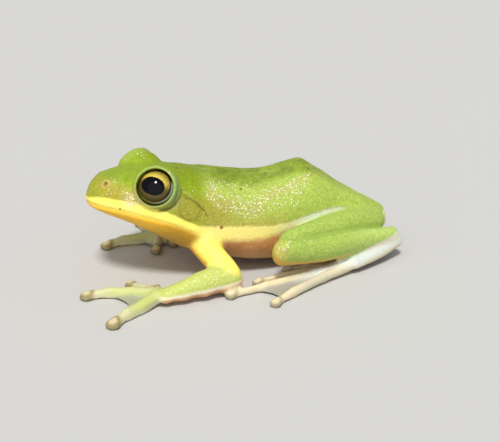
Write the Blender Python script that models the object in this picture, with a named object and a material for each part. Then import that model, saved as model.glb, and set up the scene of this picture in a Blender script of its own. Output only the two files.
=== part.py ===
"""Chinese flying frog at life size, crouched on the ground with its head raised.

The frog faces -X with its left side toward -Y and stands on the plane z = 0. Sizes are in millimetres
until the last step, which centres the frog on the origin and turns millimetres into metres.
"""

import math
from collections import namedtuple

import bmesh
import bpy
from mathutils import Matrix, Vector

# Driving sizes, in millimetres
METRES_PER_MM = 0.001
GAP = 0.3
GAP_SPARE = 0.04
BODY_VOXEL = 0.4
BODY_SMOOTHING = 6
FOOT_VOXEL = 0.26
FOOT_SMOOTHING = 3
LIMB_SEGMENTS = 16
RING_STEP = 1.8

# The head leans on the neck: turned to the frog's left, nose up, left side up
HEAD_YAW = math.radians(5.4)
HEAD_PITCH = math.radians(13.9)
HEAD_ROLL = math.radians(-3.6)
SNOUT_TIP = Vector((-40.2, -2.9, 20.4))
HEAD_LENGTH = 27.0
JAW_HALF_WIDTH = 13.4

EYE_RADIUS = 4.6
LID_THICKNESS = 0.7
EYE_OPENING_RADIUS = 4.3
LID_RIDGE_RADIUS = 4.85
LID_RIDGE_THICKNESS = 0.5
LID_RIDGE_HEIGHT = 3.15
LID_RIDGE_SEGMENTS = 40
EYE_PLACE = Vector((14.7, 8.0, 6.75))
EYE_FORWARD = math.radians(26)
EYE_UP = math.radians(18)
EARDRUM_RADIUS = 2.5
EARDRUM_PLACE = Vector((22.1, 12.7, 3.9))
EARDRUM_OUTWARD = Vector((0.1, 1.0, 0.22))
EARDRUM_THICKNESS = 0.7
EARDRUM_DEPTH = 0.4
EARDRUM_SEAT = 0.3
NOSTRIL_RADIUS = 0.45
NOSTRIL_PLACE = Vector((3.2, 4.5, 5.2))
NOSTRIL_OUTWARD = Vector((-0.35, 0.8, 0.5))
NOSTRIL_DEPTH = 0.6

NECK_AT = 26.4
SACRUM_X = 13.6
BODY_SEGMENTS = 48
CHEST_ROUNDING = 5.0
RUMP_ROUNDING = 1.2
SNOUT_BLUNTNESS = (2.4, 0.55)

# Tools that cut are wider and longer than anything that they cut
WELL_OUTSIDE = 60.0
OUTSIDE_A_DIGIT = 0.7
FURTHEST_DIGIT_CUT = 0.93

TrunkStation = namedtuple("TrunkStation", "x top middle bottom half_width upper lower")
TRUNK = (
    TrunkStation(-17.0, 24.9, 14.5, 6.6, 10.6, 2.3, 2.1),
    TrunkStation(-12.0, 25.2, 13.0, 4.4, 12.9, 2.4, 2.1),
    TrunkStation(-6.0, 24.1, 11.6, 2.8, 13.2, 2.5, 2.2),
    TrunkStation(0.0, 23.2, 10.6, 1.6, 12.9, 2.5, 2.3),
    TrunkStation(6.0, 23.0, 10.0, 1.1, 12.2, 2.6, 2.3),
    TrunkStation(11.0, 24.2, 9.8, 0.9, 11.1, 2.6, 2.3),
    TrunkStation(15.0, 24.9, 9.8, 1.5, 10.0, 2.7, 2.3),
    TrunkStation(18.5, 22.9, 9.7, 2.1, 8.9, 2.7, 2.2),
    TrunkStation(24.0, 18.8, 9.4, 2.9, 7.3, 2.7, 2.2),
    TrunkStation(30.0, 15.1, 8.9, 3.9, 5.9, 2.7, 2.2),
    TrunkStation(34.2, 12.6, 8.5, 4.7, 4.7, 2.6, 2.2),
    TrunkStation(36.3, 11.3, 8.0, 5.4, 3.6, 2.4, 2.2),
)

# Along the head, from the snout tip back: height of the crown, of the mouth line and of the chin
HeadStation = namedtuple("HeadStation", "u crown mouth chin upper lower")
HEAD = (
    HeadStation(0.4, 3.4, -0.1, -0.7, 2.6, 2.0),
    HeadStation(1.2, 4.8, 0.0, -1.2, 2.8, 2.0),
    HeadStation(2.4, 6.35, 0.1, -1.7, 3.0, 2.1),
    HeadStation(4.7, 7.25, 0.4, -2.2, 3.0, 2.2),
    HeadStation(7.4, 8.35, 0.6, -2.7, 2.9, 2.2),
    HeadStation(10.0, 9.25, 0.5, -3.3, 2.8, 2.2),
    HeadStation(13.0, 10.1, 0.3, -4.1, 2.7, 2.2),
    HeadStation(17.9, 11.0, -0.1, -5.8, 2.5, 2.2),
    HeadStation(22.0, 11.5, -0.9, -7.2, 2.4, 2.1),
    HeadStation(25.0, 11.6, -1.8, -8.1, 2.3, 2.1),
    HeadStation(29.5, 11.6, -3.0, -8.7, 2.3, 2.1),
)

LimbStation = namedtuple("LimbStation", "place across along_up")
LEG_UP = Vector((0.3, -0.4, 0.87))

# Left limbs, as (place, half width, half height)
LEFT_UPPER_ARM = (
    LimbStation((-14.2, -7.6, 11.6), 3.7, 3.8),
    LimbStation((-13.5, -10.6, 10.4), 3.6, 3.6),
    LimbStation((-11.7, -14.4, 8.1), 3.3, 3.2),
    LimbStation((-9.2, -17.6, 5.5), 3.2, 3.1),
    LimbStation((-8.3, -18.9, 4.5), 3.1, 3.0),
)
LEFT_FOREARM = (
    LimbStation((-8.3, -19.3, 4.2), 3.2, 3.3),
    LimbStation((-12.5, -20.3, 4.0), 3.2, 3.3),
    LimbStation((-16.2, -21.2, 3.6), 2.9, 3.0),
    LimbStation((-20.2, -22.1, 3.1), 2.4, 2.3),
    LimbStation((-24.2, -22.7, 2.5), 2.2, 1.8),
)
LEFT_THIGH = (
    LimbStation((32.5, -3.2, 8.6), 3.7, 4.0),
    LimbStation((28.1, -5.7, 9.4), 3.8, 4.3),
    LimbStation((22.8, -9.0, 10.1), 3.6, 4.4),
    LimbStation((17.0, -12.1, 10.5), 3.3, 4.2),
    LimbStation((11.1, -15.3, 10.8), 3.0, 4.0),
    LimbStation((6.9, -17.5, 10.7), 2.8, 3.9),
)
LEFT_SHANK = (
    LimbStation((4.9, -19.9, 9.5), 2.9, 4.1),
    LimbStation((9.9, -18.5, 8.7), 3.0, 3.9),
    LimbStation((15.5, -16.7, 8.0), 3.1, 3.8),
    LimbStation((20.4, -14.8, 7.6), 3.0, 3.7),
    LimbStation((26.3, -12.3, 7.1), 2.6, 3.3),
    LimbStation((31.6, -10.3, 6.8), 2.2, 2.7),
    LimbStation((36.2, -8.4, 6.3), 2.1, 2.5),
)
LEFT_TARSUS = (
    LimbStation((37.4, -7.9, 4.6), 2.2, 2.4),
    LimbStation((33.5, -10.2, 3.4), 2.1, 2.0),
    LimbStation((29.0, -12.6, 2.8), 2.1, 1.8),
    LimbStation((24.0, -14.8, 2.4), 2.3, 1.6),
)


def bent(points, shift_at):
    """The limb's mirror image, its stations moved a little as shift_at says for each station's order."""
    moved = []
    for order, station in enumerate(points):
        place = Vector(station.place)
        place.y = -place.y
        place += Vector(shift_at(order / (len(points) - 1)))
        moved.append(LimbStation(tuple(place), station.across, station.along_up))
    return tuple(moved)


RIGHT_KNEE_SHIFT = Vector((-0.9, 0.8, 0.1))
RIGHT_ELBOW_SHIFT = Vector((2.7, -0.8, 0.1))
RIGHT_WRIST_SHIFT = Vector((4.4, -7.0, 0.1))

RIGHT_UPPER_ARM = bent(LEFT_UPPER_ARM, lambda t: RIGHT_ELBOW_SHIFT * t)
RIGHT_FOREARM = bent(LEFT_FOREARM, lambda t: RIGHT_ELBOW_SHIFT.lerp(RIGHT_WRIST_SHIFT, t))
RIGHT_THIGH = bent(LEFT_THIGH, lambda t: RIGHT_KNEE_SHIFT * t)
RIGHT_SHANK = bent(LEFT_SHANK, lambda t: RIGHT_KNEE_SHIFT * (1 - t))
RIGHT_TARSUS = bent(LEFT_TARSUS, lambda t: Vector((0, 0, 0)))

# Digits: points of the bones' line from the palm or sole out, half width and half the pad's width and length
Digit = namedtuple("Digit", "path half_width pad")

LEFT_FINGERS = (
    Digit(((-25.0, -19.8, 2.0), (-25.1, -17.2, 1.3), (-25.5, -14.6, 0.9)), 0.95, (1.4, 1.4)),
    Digit(((-26.0, -19.8, 2.0), (-28.8, -15.8, 1.4), (-31.0, -11.6, 0.9)), 1.05, (1.7, 1.6)),
    Digit(
        ((-26.6, -20.4, 2.0), (-31.5, -17.4, 1.4), (-37.0, -15.8, 1.3), (-42.0, -15.4, 0.9)),
        1.25,
        (1.95, 1.75),
    ),
    Digit(
        ((-26.4, -22.0, 2.0), (-30.2, -25.2, 1.4), (-34.0, -28.0, 1.3), (-37.4, -31.2, 0.9)),
        1.4,
        (1.9, 1.7),
    ),
)
RIGHT_FINGERS = (
    Digit(((-20.4, 14.2, 2.0), (-18.6, 12.8, 1.3), (-17.2, 10.8, 0.9)), 0.95, (1.4, 1.4)),
    Digit(((-21.2, 13.4, 2.0), (-21.4, 10.8, 1.4), (-22.3, 7.4, 0.9)), 1.05, (1.7, 1.6)),
    Digit(
        ((-21.9, 14.4, 2.0), (-26.4, 14.9, 1.4), (-30.6, 14.8, 1.3), (-34.6, 13.5, 0.9)),
        1.25,
        (1.95, 1.75),
    ),
    Digit(
        ((-21.4, 16.6, 2.0), (-22.6, 20.4, 1.4), (-23.4, 23.8, 1.3), (-23.8, 27.2, 0.9)),
        1.25,
        (1.9, 1.7),
    ),
)
LEFT_TOES = (
    Digit(((23.2, -13.4, 1.9), (19.0, -11.4, 1.3), (14.6, -9.4, 0.9)), 0.75, (1.1, 1.15)),
    Digit(
        ((23.0, -13.9, 2.0), (17.5, -13.0, 1.5), (12.5, -12.4, 1.3), (7.6, -12.0, 0.9)),
        0.8,
        (1.2, 1.25),
    ),
    Digit(
        ((22.8, -14.5, 2.1), (15.0, -14.8, 1.6), (6.4, -16.0, 1.3), (-1.1, -17.2, 0.9)),
        0.85,
        (1.35, 1.3),
    ),
    Digit(
        ((22.6, -15.2, 2.1), (13.0, -17.1, 1.7), (0.5, -20.5, 1.3), (-8.8, -22.7, 0.9)),
        0.95,
        (1.55, 1.45),
    ),
    Digit(((22.4, -16.0, 2.0), (15.0, -19.6, 1.6), (6.0, -25.2, 1.3), (0.5, -29.1, 0.9)), 1.05, (1.5, 1.4)),
)
RIGHT_TOES = (
    Digit(((23.2, 13.4, 1.9), (18.8, 11.4, 1.3), (14.2, 9.8, 0.9)), 0.75, (1.1, 1.15)),
    Digit(((23.0, 13.9, 2.0), (17.5, 13.2, 1.5), (12.2, 13.2, 1.3), (7.0, 13.6, 0.9)), 0.8, (1.2, 1.25)),
    Digit(((22.8, 14.5, 2.1), (15.0, 15.4, 1.6), (6.8, 17.4, 1.3), (-0.6, 19.6, 0.9)), 0.85, (1.35, 1.3)),
    Digit(((22.6, 15.2, 2.1), (13.0, 17.8, 1.7), (1.2, 21.9, 1.3), (-7.4, 24.9, 0.9)), 0.95, (1.55, 1.45)),
    Digit(((22.4, 16.0, 2.0), (15.4, 20.0, 1.6), (6.8, 25.8, 1.3), (2.4, 30.2, 0.9)), 1.05, (1.5, 1.4)),
)
DIGIT_ROOT = 1.15
DIGIT_TAPER = 0.25
PAD_HALF_HEIGHT = 0.92
# How deep digits and pads would reach under the floor before their flats are cut
UNDER_FLOOR = 0.16
# How far out the web joins each pair of neighbouring digits, as shares of their lengths, and how far
# its free edge is drawn in between them, as a share of the web's own length
Web = namedtuple("Web", "first second sag")
FINGER_WEBS = (Web(0.66, 0.6, 0.24), Web(0.72, 0.42, 0.24), Web(0.72, 0.78, 0.32))
TOE_WEBS = (Web(0.76, 0.6, 0.24), Web(0.8, 0.62, 0.24), Web(0.84, 0.6, 0.2), Web(0.8, 0.9, 0.06))
WEB_THICKNESS = 0.75
WEB_ROWS = 7
WEB_COLUMNS = 8
WEB_LOWEST = 0.62
WEB_RISE = 0.62

# Triangles that each part may keep
TRIANGLES = {
    "head": 2500,
    "lower_jaw": 500,
    "torso": 1300,
    "pelvis": 700,
    "upper_arm": 360,
    "forearm": 420,
    "hand": 760,
    "finger": 130,
    "thigh": 460,
    "shank": 460,
    "tarsus": 300,
    "foot": 860,
    "toe": 110,
}
# More than any part has before it is thinned out
ALL_TRIANGLES = 100000
SHARP_EDGE = math.radians(50)

GREEN = (0.26, 0.47, 0.03, 1)
YELLOW = (0.9, 0.62, 0.06, 1)
PALE = (0.75, 0.72, 0.5, 1)
OLIVE = (0.3, 0.34, 0.04, 1)
EYE_DARK = (0.02, 0.02, 0.02, 1)


def head_matrix():
    """Carries the head's own axes, u back, v to its left and w up, into the frog's."""
    turn = (
        Matrix.Rotation(HEAD_YAW, 3, "Z")
        @ Matrix.Rotation(HEAD_PITCH, 3, "Y")
        @ Matrix.Rotation(HEAD_ROLL, 3, "X")
    )
    own_axes = Matrix(((1, 0, 0), (0, -1, 0), (0, 0, 1)))
    return Matrix.Translation(SNOUT_TIP) @ (turn @ own_axes).to_4x4()


HEAD_FRAME = head_matrix()


def skin(name):
    obj = bpy.data.objects.new(name, bpy.data.meshes.new(name))
    bpy.context.scene.collection.objects.link(obj)
    return obj


def discard(obj):
    bpy.data.objects.remove(obj, do_unlink=True)


def from_bmesh(bm, name):
    """A new object from a closed bmesh, its faces turned outward."""
    bmesh.ops.recalc_face_normals(bm, faces=bm.faces)
    obj = skin(name)
    bm.to_mesh(obj.data)
    bm.free()
    return obj


def settle(obj):
    """Turns the object's modifiers into its own mesh."""
    evaluated = obj.evaluated_get(bpy.context.evaluated_depsgraph_get())
    mesh = bpy.data.meshes.new_from_object(evaluated)
    obj.modifiers.clear()
    obj.data = mesh
    return obj


def islands(bm):
    """The separate closed surfaces of a bmesh, each as a set of its vertices."""
    left = set(bm.verts)
    found = []
    while left:
        front = [left.pop()]
        piece = set(front)
        while front:
            for edge in front.pop().link_edges:
                for vert in edge.verts:
                    if vert in left:
                        left.discard(vert)
                        piece.add(vert)
                        front.append(vert)
        found.append(piece)
    return found


def keep_largest(obj):
    bm = bmesh.new()
    bm.from_mesh(obj.data)
    pieces = sorted(islands(bm), key=len)
    for piece in pieces[:-1]:
        bmesh.ops.delete(bm, geom=list(piece), context="VERTS")
    bm.to_mesh(obj.data)
    bm.free()
    return obj


def boolean(obj, operation, others):
    """Joins the other closed objects to obj, or cuts them from it, and removes them."""
    for other in others:
        modifier = obj.modifiers.new("shape", "BOOLEAN")
        modifier.operation = operation
        modifier.solver = "EXACT"
        modifier.object = other
        settle(obj)
        discard(other)
    return obj


def cut(obj, others):
    return boolean(obj, "DIFFERENCE", others)


def join(objects, name):
    """One object with the closed surfaces of all of them, still overlapping."""
    bm = bmesh.new()
    for obj in objects:
        bm.from_mesh(obj.data)
        discard(obj)
    return from_bmesh(bm, name)


def fuse(obj, voxel, smoothing):
    """Melts overlapping closed surfaces into one soft skin."""
    remesh = obj.modifiers.new("melt", "REMESH")
    remesh.mode = "VOXEL"
    remesh.voxel_size = voxel
    smooth = obj.modifiers.new("soften", "SMOOTH")
    smooth.factor = 0.5
    smooth.iterations = smoothing
    return keep_largest(settle(obj))


def thin_out(obj, triangles):
    """Leaves about this many triangles, most where the surface bends most."""
    bm = bmesh.new()
    bm.from_mesh(obj.data)
    bmesh.ops.triangulate(bm, faces=bm.faces)
    count = len(bm.faces)
    bm.to_mesh(obj.data)
    bm.free()
    if count > triangles:
        decimate = obj.modifiers.new("thin out", "DECIMATE")
        decimate.ratio = triangles / count
        settle(obj)
    return obj


def smooth_rows(rows, step):
    """Rows of numbers, read from a smooth curve through the given rows, about step apart.

    Rows that start with a place in space hold five numbers; other rows start with a distance.
    """
    vectors = [Vector(row) for row in rows]
    out = []
    for order in range(len(vectors) - 1):
        before = vectors[max(order - 1, 0)]
        start = vectors[order]
        end = vectors[order + 1]
        after = vectors[min(order + 2, len(vectors) - 1)]
        length = math.dist(start[:3], end[:3]) if len(start) == 5 else end[0] - start[0]
        pieces = max(1, round(length / step))
        for piece in range(pieces):
            t = piece / pieces
            out.append(
                0.5
                * (
                    2 * start
                    + (end - before) * t
                    + (2 * before - 5 * start + 4 * end - after) * t * t
                    + (3 * start - before - 3 * end + after) * t * t * t
                )
            )
    out.append(vectors[-1])
    return out


def oval(half_width, top, middle, bottom, upper, lower, segments):
    """Points (side, height) round a cross-section that is widest at the middle height."""
    points = []
    for order in range(segments):
        angle = math.tau * order / segments
        side = math.cos(angle)
        rise = math.sin(angle)
        power = upper if rise >= 0 else lower
        reach = top - middle if rise >= 0 else middle - bottom
        points.append(
            (
                math.copysign(half_width * abs(side) ** (2 / power), side),
                middle + math.copysign(reach * abs(rise) ** (2 / power), rise),
            )
        )
    return points


def loft(rings, name):
    """A closed skin over rings that have the same number of points."""
    bm = bmesh.new()
    loops = []
    for ring in rings:
        made = bmesh.ops.create_circle(bm, cap_ends=False, segments=len(ring), radius=1)
        for vert, place in zip(made["verts"], ring):
            vert.co = place
        loops.append(list({edge for vert in made["verts"] for edge in vert.link_edges}))
    for first, second in zip(loops, loops[1:]):
        bmesh.ops.bridge_loops(bm, edges=first + second)
    bmesh.ops.holes_fill(bm, edges=[edge for edge in bm.edges if edge.is_boundary], sides=0)
    return from_bmesh(bm, name)


def hoop(rings, name):
    """A closed skin over rings that follow each other in a circle."""
    bm = bmesh.new()
    loops = []
    for ring in rings:
        made = bmesh.ops.create_circle(bm, cap_ends=False, segments=len(ring), radius=1)
        for vert, place in zip(made["verts"], ring):
            vert.co = place
        loops.append(list({edge for vert in made["verts"] for edge in vert.link_edges}))
    for first, second in zip(loops, loops[1:] + loops[:1]):
        bmesh.ops.bridge_loops(bm, edges=first + second)
    return from_bmesh(bm, name)


ROUND_END = ((0.35, 0.94), (0.65, 0.76), (0.87, 0.49), (0.97, 0.24))


def limb(stations, up, name, grow=0.0, segments=LIMB_SEGMENTS):
    """A limb's oval rings along its line, closed by round ends."""
    rows = [(*station.place, station.across, station.along_up) for station in stations]
    rows = smooth_rows(rows, RING_STEP)
    places = [Vector(row[:3]) for row in rows]
    rings = []

    def ring(place, forward, across, along_up):
        side = forward.cross(up).normalized()
        above = side.cross(forward).normalized()
        rings.append(
            [
                place + side * across * math.cos(angle) + above * along_up * math.sin(angle)
                for angle in (math.tau * order / segments for order in range(segments))
            ]
        )

    first = (places[1] - places[0]).normalized()
    last = (places[-1] - places[-2]).normalized()
    for out, size in reversed(ROUND_END):
        reach = min(rows[0][3], rows[0][4]) + grow
        ring(places[0] - first * reach * out, first, (rows[0][3] + grow) * size, (rows[0][4] + grow) * size)
    for order, row in enumerate(rows):
        ahead = places[min(order + 1, len(places) - 1)]
        behind = places[max(order - 1, 0)]
        ring(places[order], (ahead - behind).normalized(), row[3] + grow, row[4] + grow)
    for out, size in ROUND_END:
        reach = min(rows[-1][3], rows[-1][4]) + grow
        ring(places[-1] + last * reach * out, last, (rows[-1][3] + grow) * size, (rows[-1][4] + grow) * size)
    return loft(rings, name)


def ball(radii, matrix, name, segments=32, rings=20):
    bm = bmesh.new()
    bmesh.ops.create_uvsphere(bm, u_segments=segments, v_segments=rings, radius=1)
    bmesh.ops.scale(bm, vec=radii, verts=bm.verts)
    bmesh.ops.transform(bm, matrix=matrix, verts=bm.verts)
    return from_bmesh(bm, name)


def rod(radius, length, matrix, name, segments=32):
    """A cylinder along its own Z from its base."""
    bm = bmesh.new()
    bmesh.ops.create_cone(
        bm, cap_ends=True, segments=segments, radius1=radius, radius2=radius, depth=length
    )
    bmesh.ops.translate(bm, vec=(0, 0, length / 2), verts=bm.verts)
    bmesh.ops.transform(bm, matrix=matrix, verts=bm.verts)
    return from_bmesh(bm, name)


def slab(size, matrix, name):
    bm = bmesh.new()
    bmesh.ops.create_cube(bm, size=1)
    bmesh.ops.scale(bm, vec=size, verts=bm.verts)
    bmesh.ops.transform(bm, matrix=matrix, verts=bm.verts)
    return from_bmesh(bm, name)


def facing(place, direction):
    """A frame at a place whose Z runs along the direction."""
    return Matrix.Translation(place) @ direction.to_track_quat("Z", "Y").to_matrix().to_4x4()


def mirrored(place, side):
    return Vector((place.x, place.y * side, place.z))


def eye_axis(side):
    """The way that an eye looks, in the head's own axes."""
    return Vector(
        (
            -math.sin(EYE_FORWARD) * math.cos(EYE_UP),
            math.cos(EYE_FORWARD) * math.cos(EYE_UP) * side,
            math.sin(EYE_UP),
        )
    )


def trunk():
    rows = smooth_rows([tuple(station) for station in TRUNK], RING_STEP / 2)
    rings = []

    def ring(x, row, size):
        _, top, middle, bottom, half_width, upper, lower = row
        points = oval(
            half_width * size,
            middle + (top - middle) * size,
            middle,
            middle - (middle - bottom) * size,
            upper,
            lower,
            BODY_SEGMENTS,
        )
        rings.append([Vector((x, -side, height)) for side, height in points])

    for out, size in reversed(ROUND_END):
        ring(rows[0][0] - CHEST_ROUNDING * out, rows[0], size)
    for row in rows:
        ring(row[0], row, 1)
    for out, size in ROUND_END:
        ring(rows[-1][0] + RUMP_ROUNDING * out, rows[-1], size)
    return loft(rings, "trunk")


def jaw_half_width(u):
    """Half the width of the head at the mouth line, u back from the snout tip."""
    ahead = max(0.0, 1 - u / HEAD_LENGTH)
    first, second = SNOUT_BLUNTNESS
    return JAW_HALF_WIDTH * (1 - ahead**first) ** second


def head_form():
    rows = smooth_rows([tuple(station) for station in HEAD], RING_STEP / 2)
    rings = []

    def ring(u, row, size):
        _, crown, mouth, chin, upper, lower = row
        points = oval(
            jaw_half_width(u) * size,
            mouth + (crown - mouth) * size,
            mouth,
            mouth - (mouth - chin) * size,
            upper,
            lower,
            BODY_SEGMENTS,
        )
        rings.append([HEAD_FRAME @ Vector((u, side, height)) for side, height in points])

    ring(0.1, rows[0], 0.6)
    for row in rows:
        ring(row[0], row, 1)
    ring(HEAD[-1].u + 2.0, rows[-1], 0.7)
    return loft(rings, "skull")


def eye_bulge(side):
    outer = EYE_RADIUS + GAP + LID_THICKNESS
    return ball([outer] * 3, HEAD_FRAME @ Matrix.Translation(mirrored(EYE_PLACE, side)), "eye bulge")


def lid_ridge(side):
    """A raised rim round the opening of an eye."""
    centre = HEAD_FRAME @ mirrored(EYE_PLACE, side)
    axis = (HEAD_FRAME.to_3x3() @ eye_axis(side)).normalized()
    frame = facing(centre + axis * LID_RIDGE_HEIGHT, axis)
    rings = []
    for turn in range(LID_RIDGE_SEGMENTS):
        angle = math.tau * turn / LID_RIDGE_SEGMENTS
        out = Vector((math.cos(angle), math.sin(angle), 0))
        ring = []
        for order in range(10):
            round_angle = math.tau * order / 10
            reach = LID_RIDGE_RADIUS + LID_RIDGE_THICKNESS * math.cos(round_angle)
            place = out * reach + Vector((0, 0, LID_RIDGE_THICKNESS * math.sin(round_angle)))
            ring.append(frame @ place)
        rings.append(ring)
    return hoop(rings, "lid ridge")


def body():
    """The whole head and trunk as one soft skin."""
    pieces = [trunk(), head_form()]
    for side in (1, -1):
        pieces += [eye_bulge(side), lid_ridge(side)]
    return fuse(join(pieces, "body"), BODY_VOXEL, BODY_SMOOTHING)


def mouth_sheet():
    """The thin curved gap between the lips, from ahead of the snout to the neck."""
    rows = smooth_rows([(station.u, station.mouth) for station in HEAD], RING_STEP)
    line = [(-HEAD_LENGTH, rows[0][1])] + [(row[0], row[1]) for row in rows]
    bm = bmesh.new()
    made = bmesh.ops.create_grid(bm, x_segments=len(line) - 1, y_segments=1, size=1)
    for vert in made["verts"]:
        u, height = line[round((vert.co.x + 1) / 2 * (len(line) - 1))]
        vert.co = HEAD_FRAME @ Vector((u, vert.co.y * HEAD_LENGTH, height))
    sheet = from_bmesh(bm, "mouth")
    wall = sheet.modifiers.new("gap", "SOLIDIFY")
    wall.thickness = GAP
    wall.offset = 0
    return settle(sheet)


def part_body(whole):
    """Parts the body at the neck, the mouth line and the sacrum, and names the pieces."""
    plane = (GAP, WELL_OUTSIDE, WELL_OUTSIDE)
    neck = slab(plane, HEAD_FRAME @ Matrix.Translation((NECK_AT, 0, 0)), "neck cut")
    sacrum = slab(plane, Matrix.Translation((SACRUM_X, 0, 0)), "sacrum cut")
    cut(whole, [mouth_sheet(), sacrum, neck])
    seeds = {
        "head": HEAD_FRAME @ Vector((14, 0, 5)),
        "lower_jaw": HEAD_FRAME @ Vector((16, 0, -3)),
        "torso": Vector((0, 0, 12)),
        "pelvis": Vector((24, 0, 10)),
    }
    bm = bmesh.new()
    bm.from_mesh(whole.data)
    pieces = sorted(islands(bm), key=len, reverse=True)[: len(seeds)]
    centres = [sum((vert.co for vert in piece), Vector()) / len(piece) for piece in pieces]
    parts = {}
    for name, seed in seeds.items():
        nearest = min(range(len(pieces)), key=lambda order: (centres[order] - seed).length)
        copy = bmesh.new()
        copy.from_mesh(whole.data)
        copy.verts.ensure_lookup_table()
        keep = {vert.index for vert in pieces[nearest]}
        spare = [vert for vert in copy.verts if vert.index not in keep]
        bmesh.ops.delete(copy, geom=spare, context="VERTS")
        parts[name] = thin_out(from_bmesh(copy, name), TRIANGLES[name])
    bm.free()
    discard(whole)
    return parts


def open_head(head):
    """Sockets for the eyes, the nostrils and the seats of the eardrums."""
    cutters = []
    for side in (1, -1):
        centre = HEAD_FRAME @ mirrored(EYE_PLACE, side)
        axis = HEAD_FRAME.to_3x3() @ eye_axis(side)
        cutters.append(ball([EYE_RADIUS + GAP] * 3, facing(centre, axis), "socket", 28, 18))
        cutters.append(rod(EYE_OPENING_RADIUS, 2 * EYE_RADIUS, facing(centre, axis), "opening", 28))
        nostril = HEAD_FRAME @ mirrored(NOSTRIL_PLACE, side)
        outward = (HEAD_FRAME.to_3x3() @ mirrored(NOSTRIL_OUTWARD, side)).normalized()
        frame = facing(nostril - outward * NOSTRIL_DEPTH, outward)
        cutters.append(rod(NOSTRIL_RADIUS, 5 * NOSTRIL_DEPTH, frame, "nostril", 10))
    return cut(head, cutters)


def eardrum_frame(side, depth):
    """A frame that looks out of the head at an eardrum, from this deep under it."""
    outward = (HEAD_FRAME.to_3x3() @ mirrored(EARDRUM_OUTWARD, side)).normalized()
    return facing(HEAD_FRAME @ mirrored(EARDRUM_PLACE, side) - outward * depth, outward)


def clear_of(obj, neighbours, triangles):
    """Cuts from obj its neighbours grown by the gap, so that they meet face to face."""
    cutters = []
    for neighbour in neighbours:
        grown = neighbour.copy()
        grown.data = neighbour.data.copy()
        bpy.context.scene.collection.objects.link(grown)
        even = grown.modifiers.new("even mesh", "REMESH")
        even.mode = "VOXEL"
        even.voxel_size = BODY_VOXEL
        push = grown.modifiers.new("gap", "DISPLACE")
        push.strength = GAP + GAP_SPARE
        push.mid_level = 0
        cutters.append(settle(grown))
    return thin_out(keep_largest(cut(obj, cutters)), triangles)


def on_floor(obj):
    """Cuts off what would reach under the floor, which leaves small flats."""
    floor = slab([4 * WELL_OUTSIDE] * 3, Matrix.Translation((0, 0, -2 * WELL_OUTSIDE)), "floor")
    return keep_largest(cut(obj, [floor]))


def digit_line(digit):
    return smooth_rows([(*place, 0, 0) for place in digit.path], RING_STEP / 2)


def at_share(digit, share):
    """The place and the direction of a digit at a share of its length."""
    line = [Vector(row[:3]) for row in digit_line(digit)]
    lengths = [0.0]
    for start, end in zip(line, line[1:]):
        lengths.append(lengths[-1] + (end - start).length)
    wanted = share * lengths[-1]
    for order in range(len(line) - 1):
        if lengths[order + 1] >= wanted:
            span = lengths[order + 1] - lengths[order]
            place = line[order].lerp(line[order + 1], (wanted - lengths[order]) / span)
            return place, (line[order + 1] - line[order]).normalized()
    return line[-1], (line[-1] - line[-2]).normalized()


def digit_form(digit):
    """A digit with swollen joints and its round pad."""
    count = len(digit.path)
    stations = []
    for order, place in enumerate(digit.path):
        wide = digit.half_width * (DIGIT_ROOT - DIGIT_TAPER * order / (count - 1))
        stations.append(LimbStation(place, wide, min(wide, place[2]) + UNDER_FLOOR))
    tip, forward = at_share(digit, 1)
    wide, long = digit.pad
    ahead = Vector((forward.x, forward.y, 0)).normalized()
    turn = Matrix.Rotation(math.atan2(ahead.y, ahead.x), 4, "Z")
    frame = Matrix.Translation((tip.x, tip.y, PAD_HALF_HEIGHT - UNDER_FLOOR)) @ turn
    pad = ball((long, wide, PAD_HALF_HEIGHT), frame, "pad", 20, 12)
    return [limb(stations, Vector((0, 0, 1)), "digit", segments=12), pad]


def web_form(first, second, web):
    """A web between two digits, its free edge drawn in."""
    bm = bmesh.new()
    made = bmesh.ops.create_grid(bm, x_segments=WEB_ROWS, y_segments=WEB_COLUMNS, size=1)
    for vert in made["verts"]:
        share = (vert.co.x + 1) / 2
        side = (vert.co.y + 1) / 2
        drawn = share * (1 - web.sag * 4 * side * (1 - side))
        start = at_share(first, drawn * web.first)[0]
        end = at_share(second, drawn * web.second)[0]
        place = start.lerp(end, side)
        place.z = max(WEB_LOWEST, place.z * WEB_RISE)
        vert.co = place
    sheet = from_bmesh(bm, "web")
    wall = sheet.modifiers.new("thickness", "SOLIDIFY")
    wall.thickness = WEB_THICKNESS
    wall.offset = 0
    return settle(sheet)


def spread(digits, webs, root, name):
    """A hand or a foot: its root, digits and webs as one soft skin, flat where it stands."""
    pieces = [root]
    for digit in digits:
        pieces += digit_form(digit)
    for first, second, web in zip(digits, digits[1:], webs):
        pieces.append(web_form(first, second, web))
    whole = fuse(join(pieces, name), FOOT_VOXEL, FOOT_SMOOTHING)
    return on_floor(whole)


def free_reach(webs, order, count):
    """The share of a digit's length from which it is free of web."""
    reaches = []
    if order > 0:
        reaches.append(webs[order - 1].second)
    if order < count - 1:
        reaches.append(webs[order].first)
    return min(max(reaches) + 0.02, FURTHEST_DIGIT_CUT)


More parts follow.
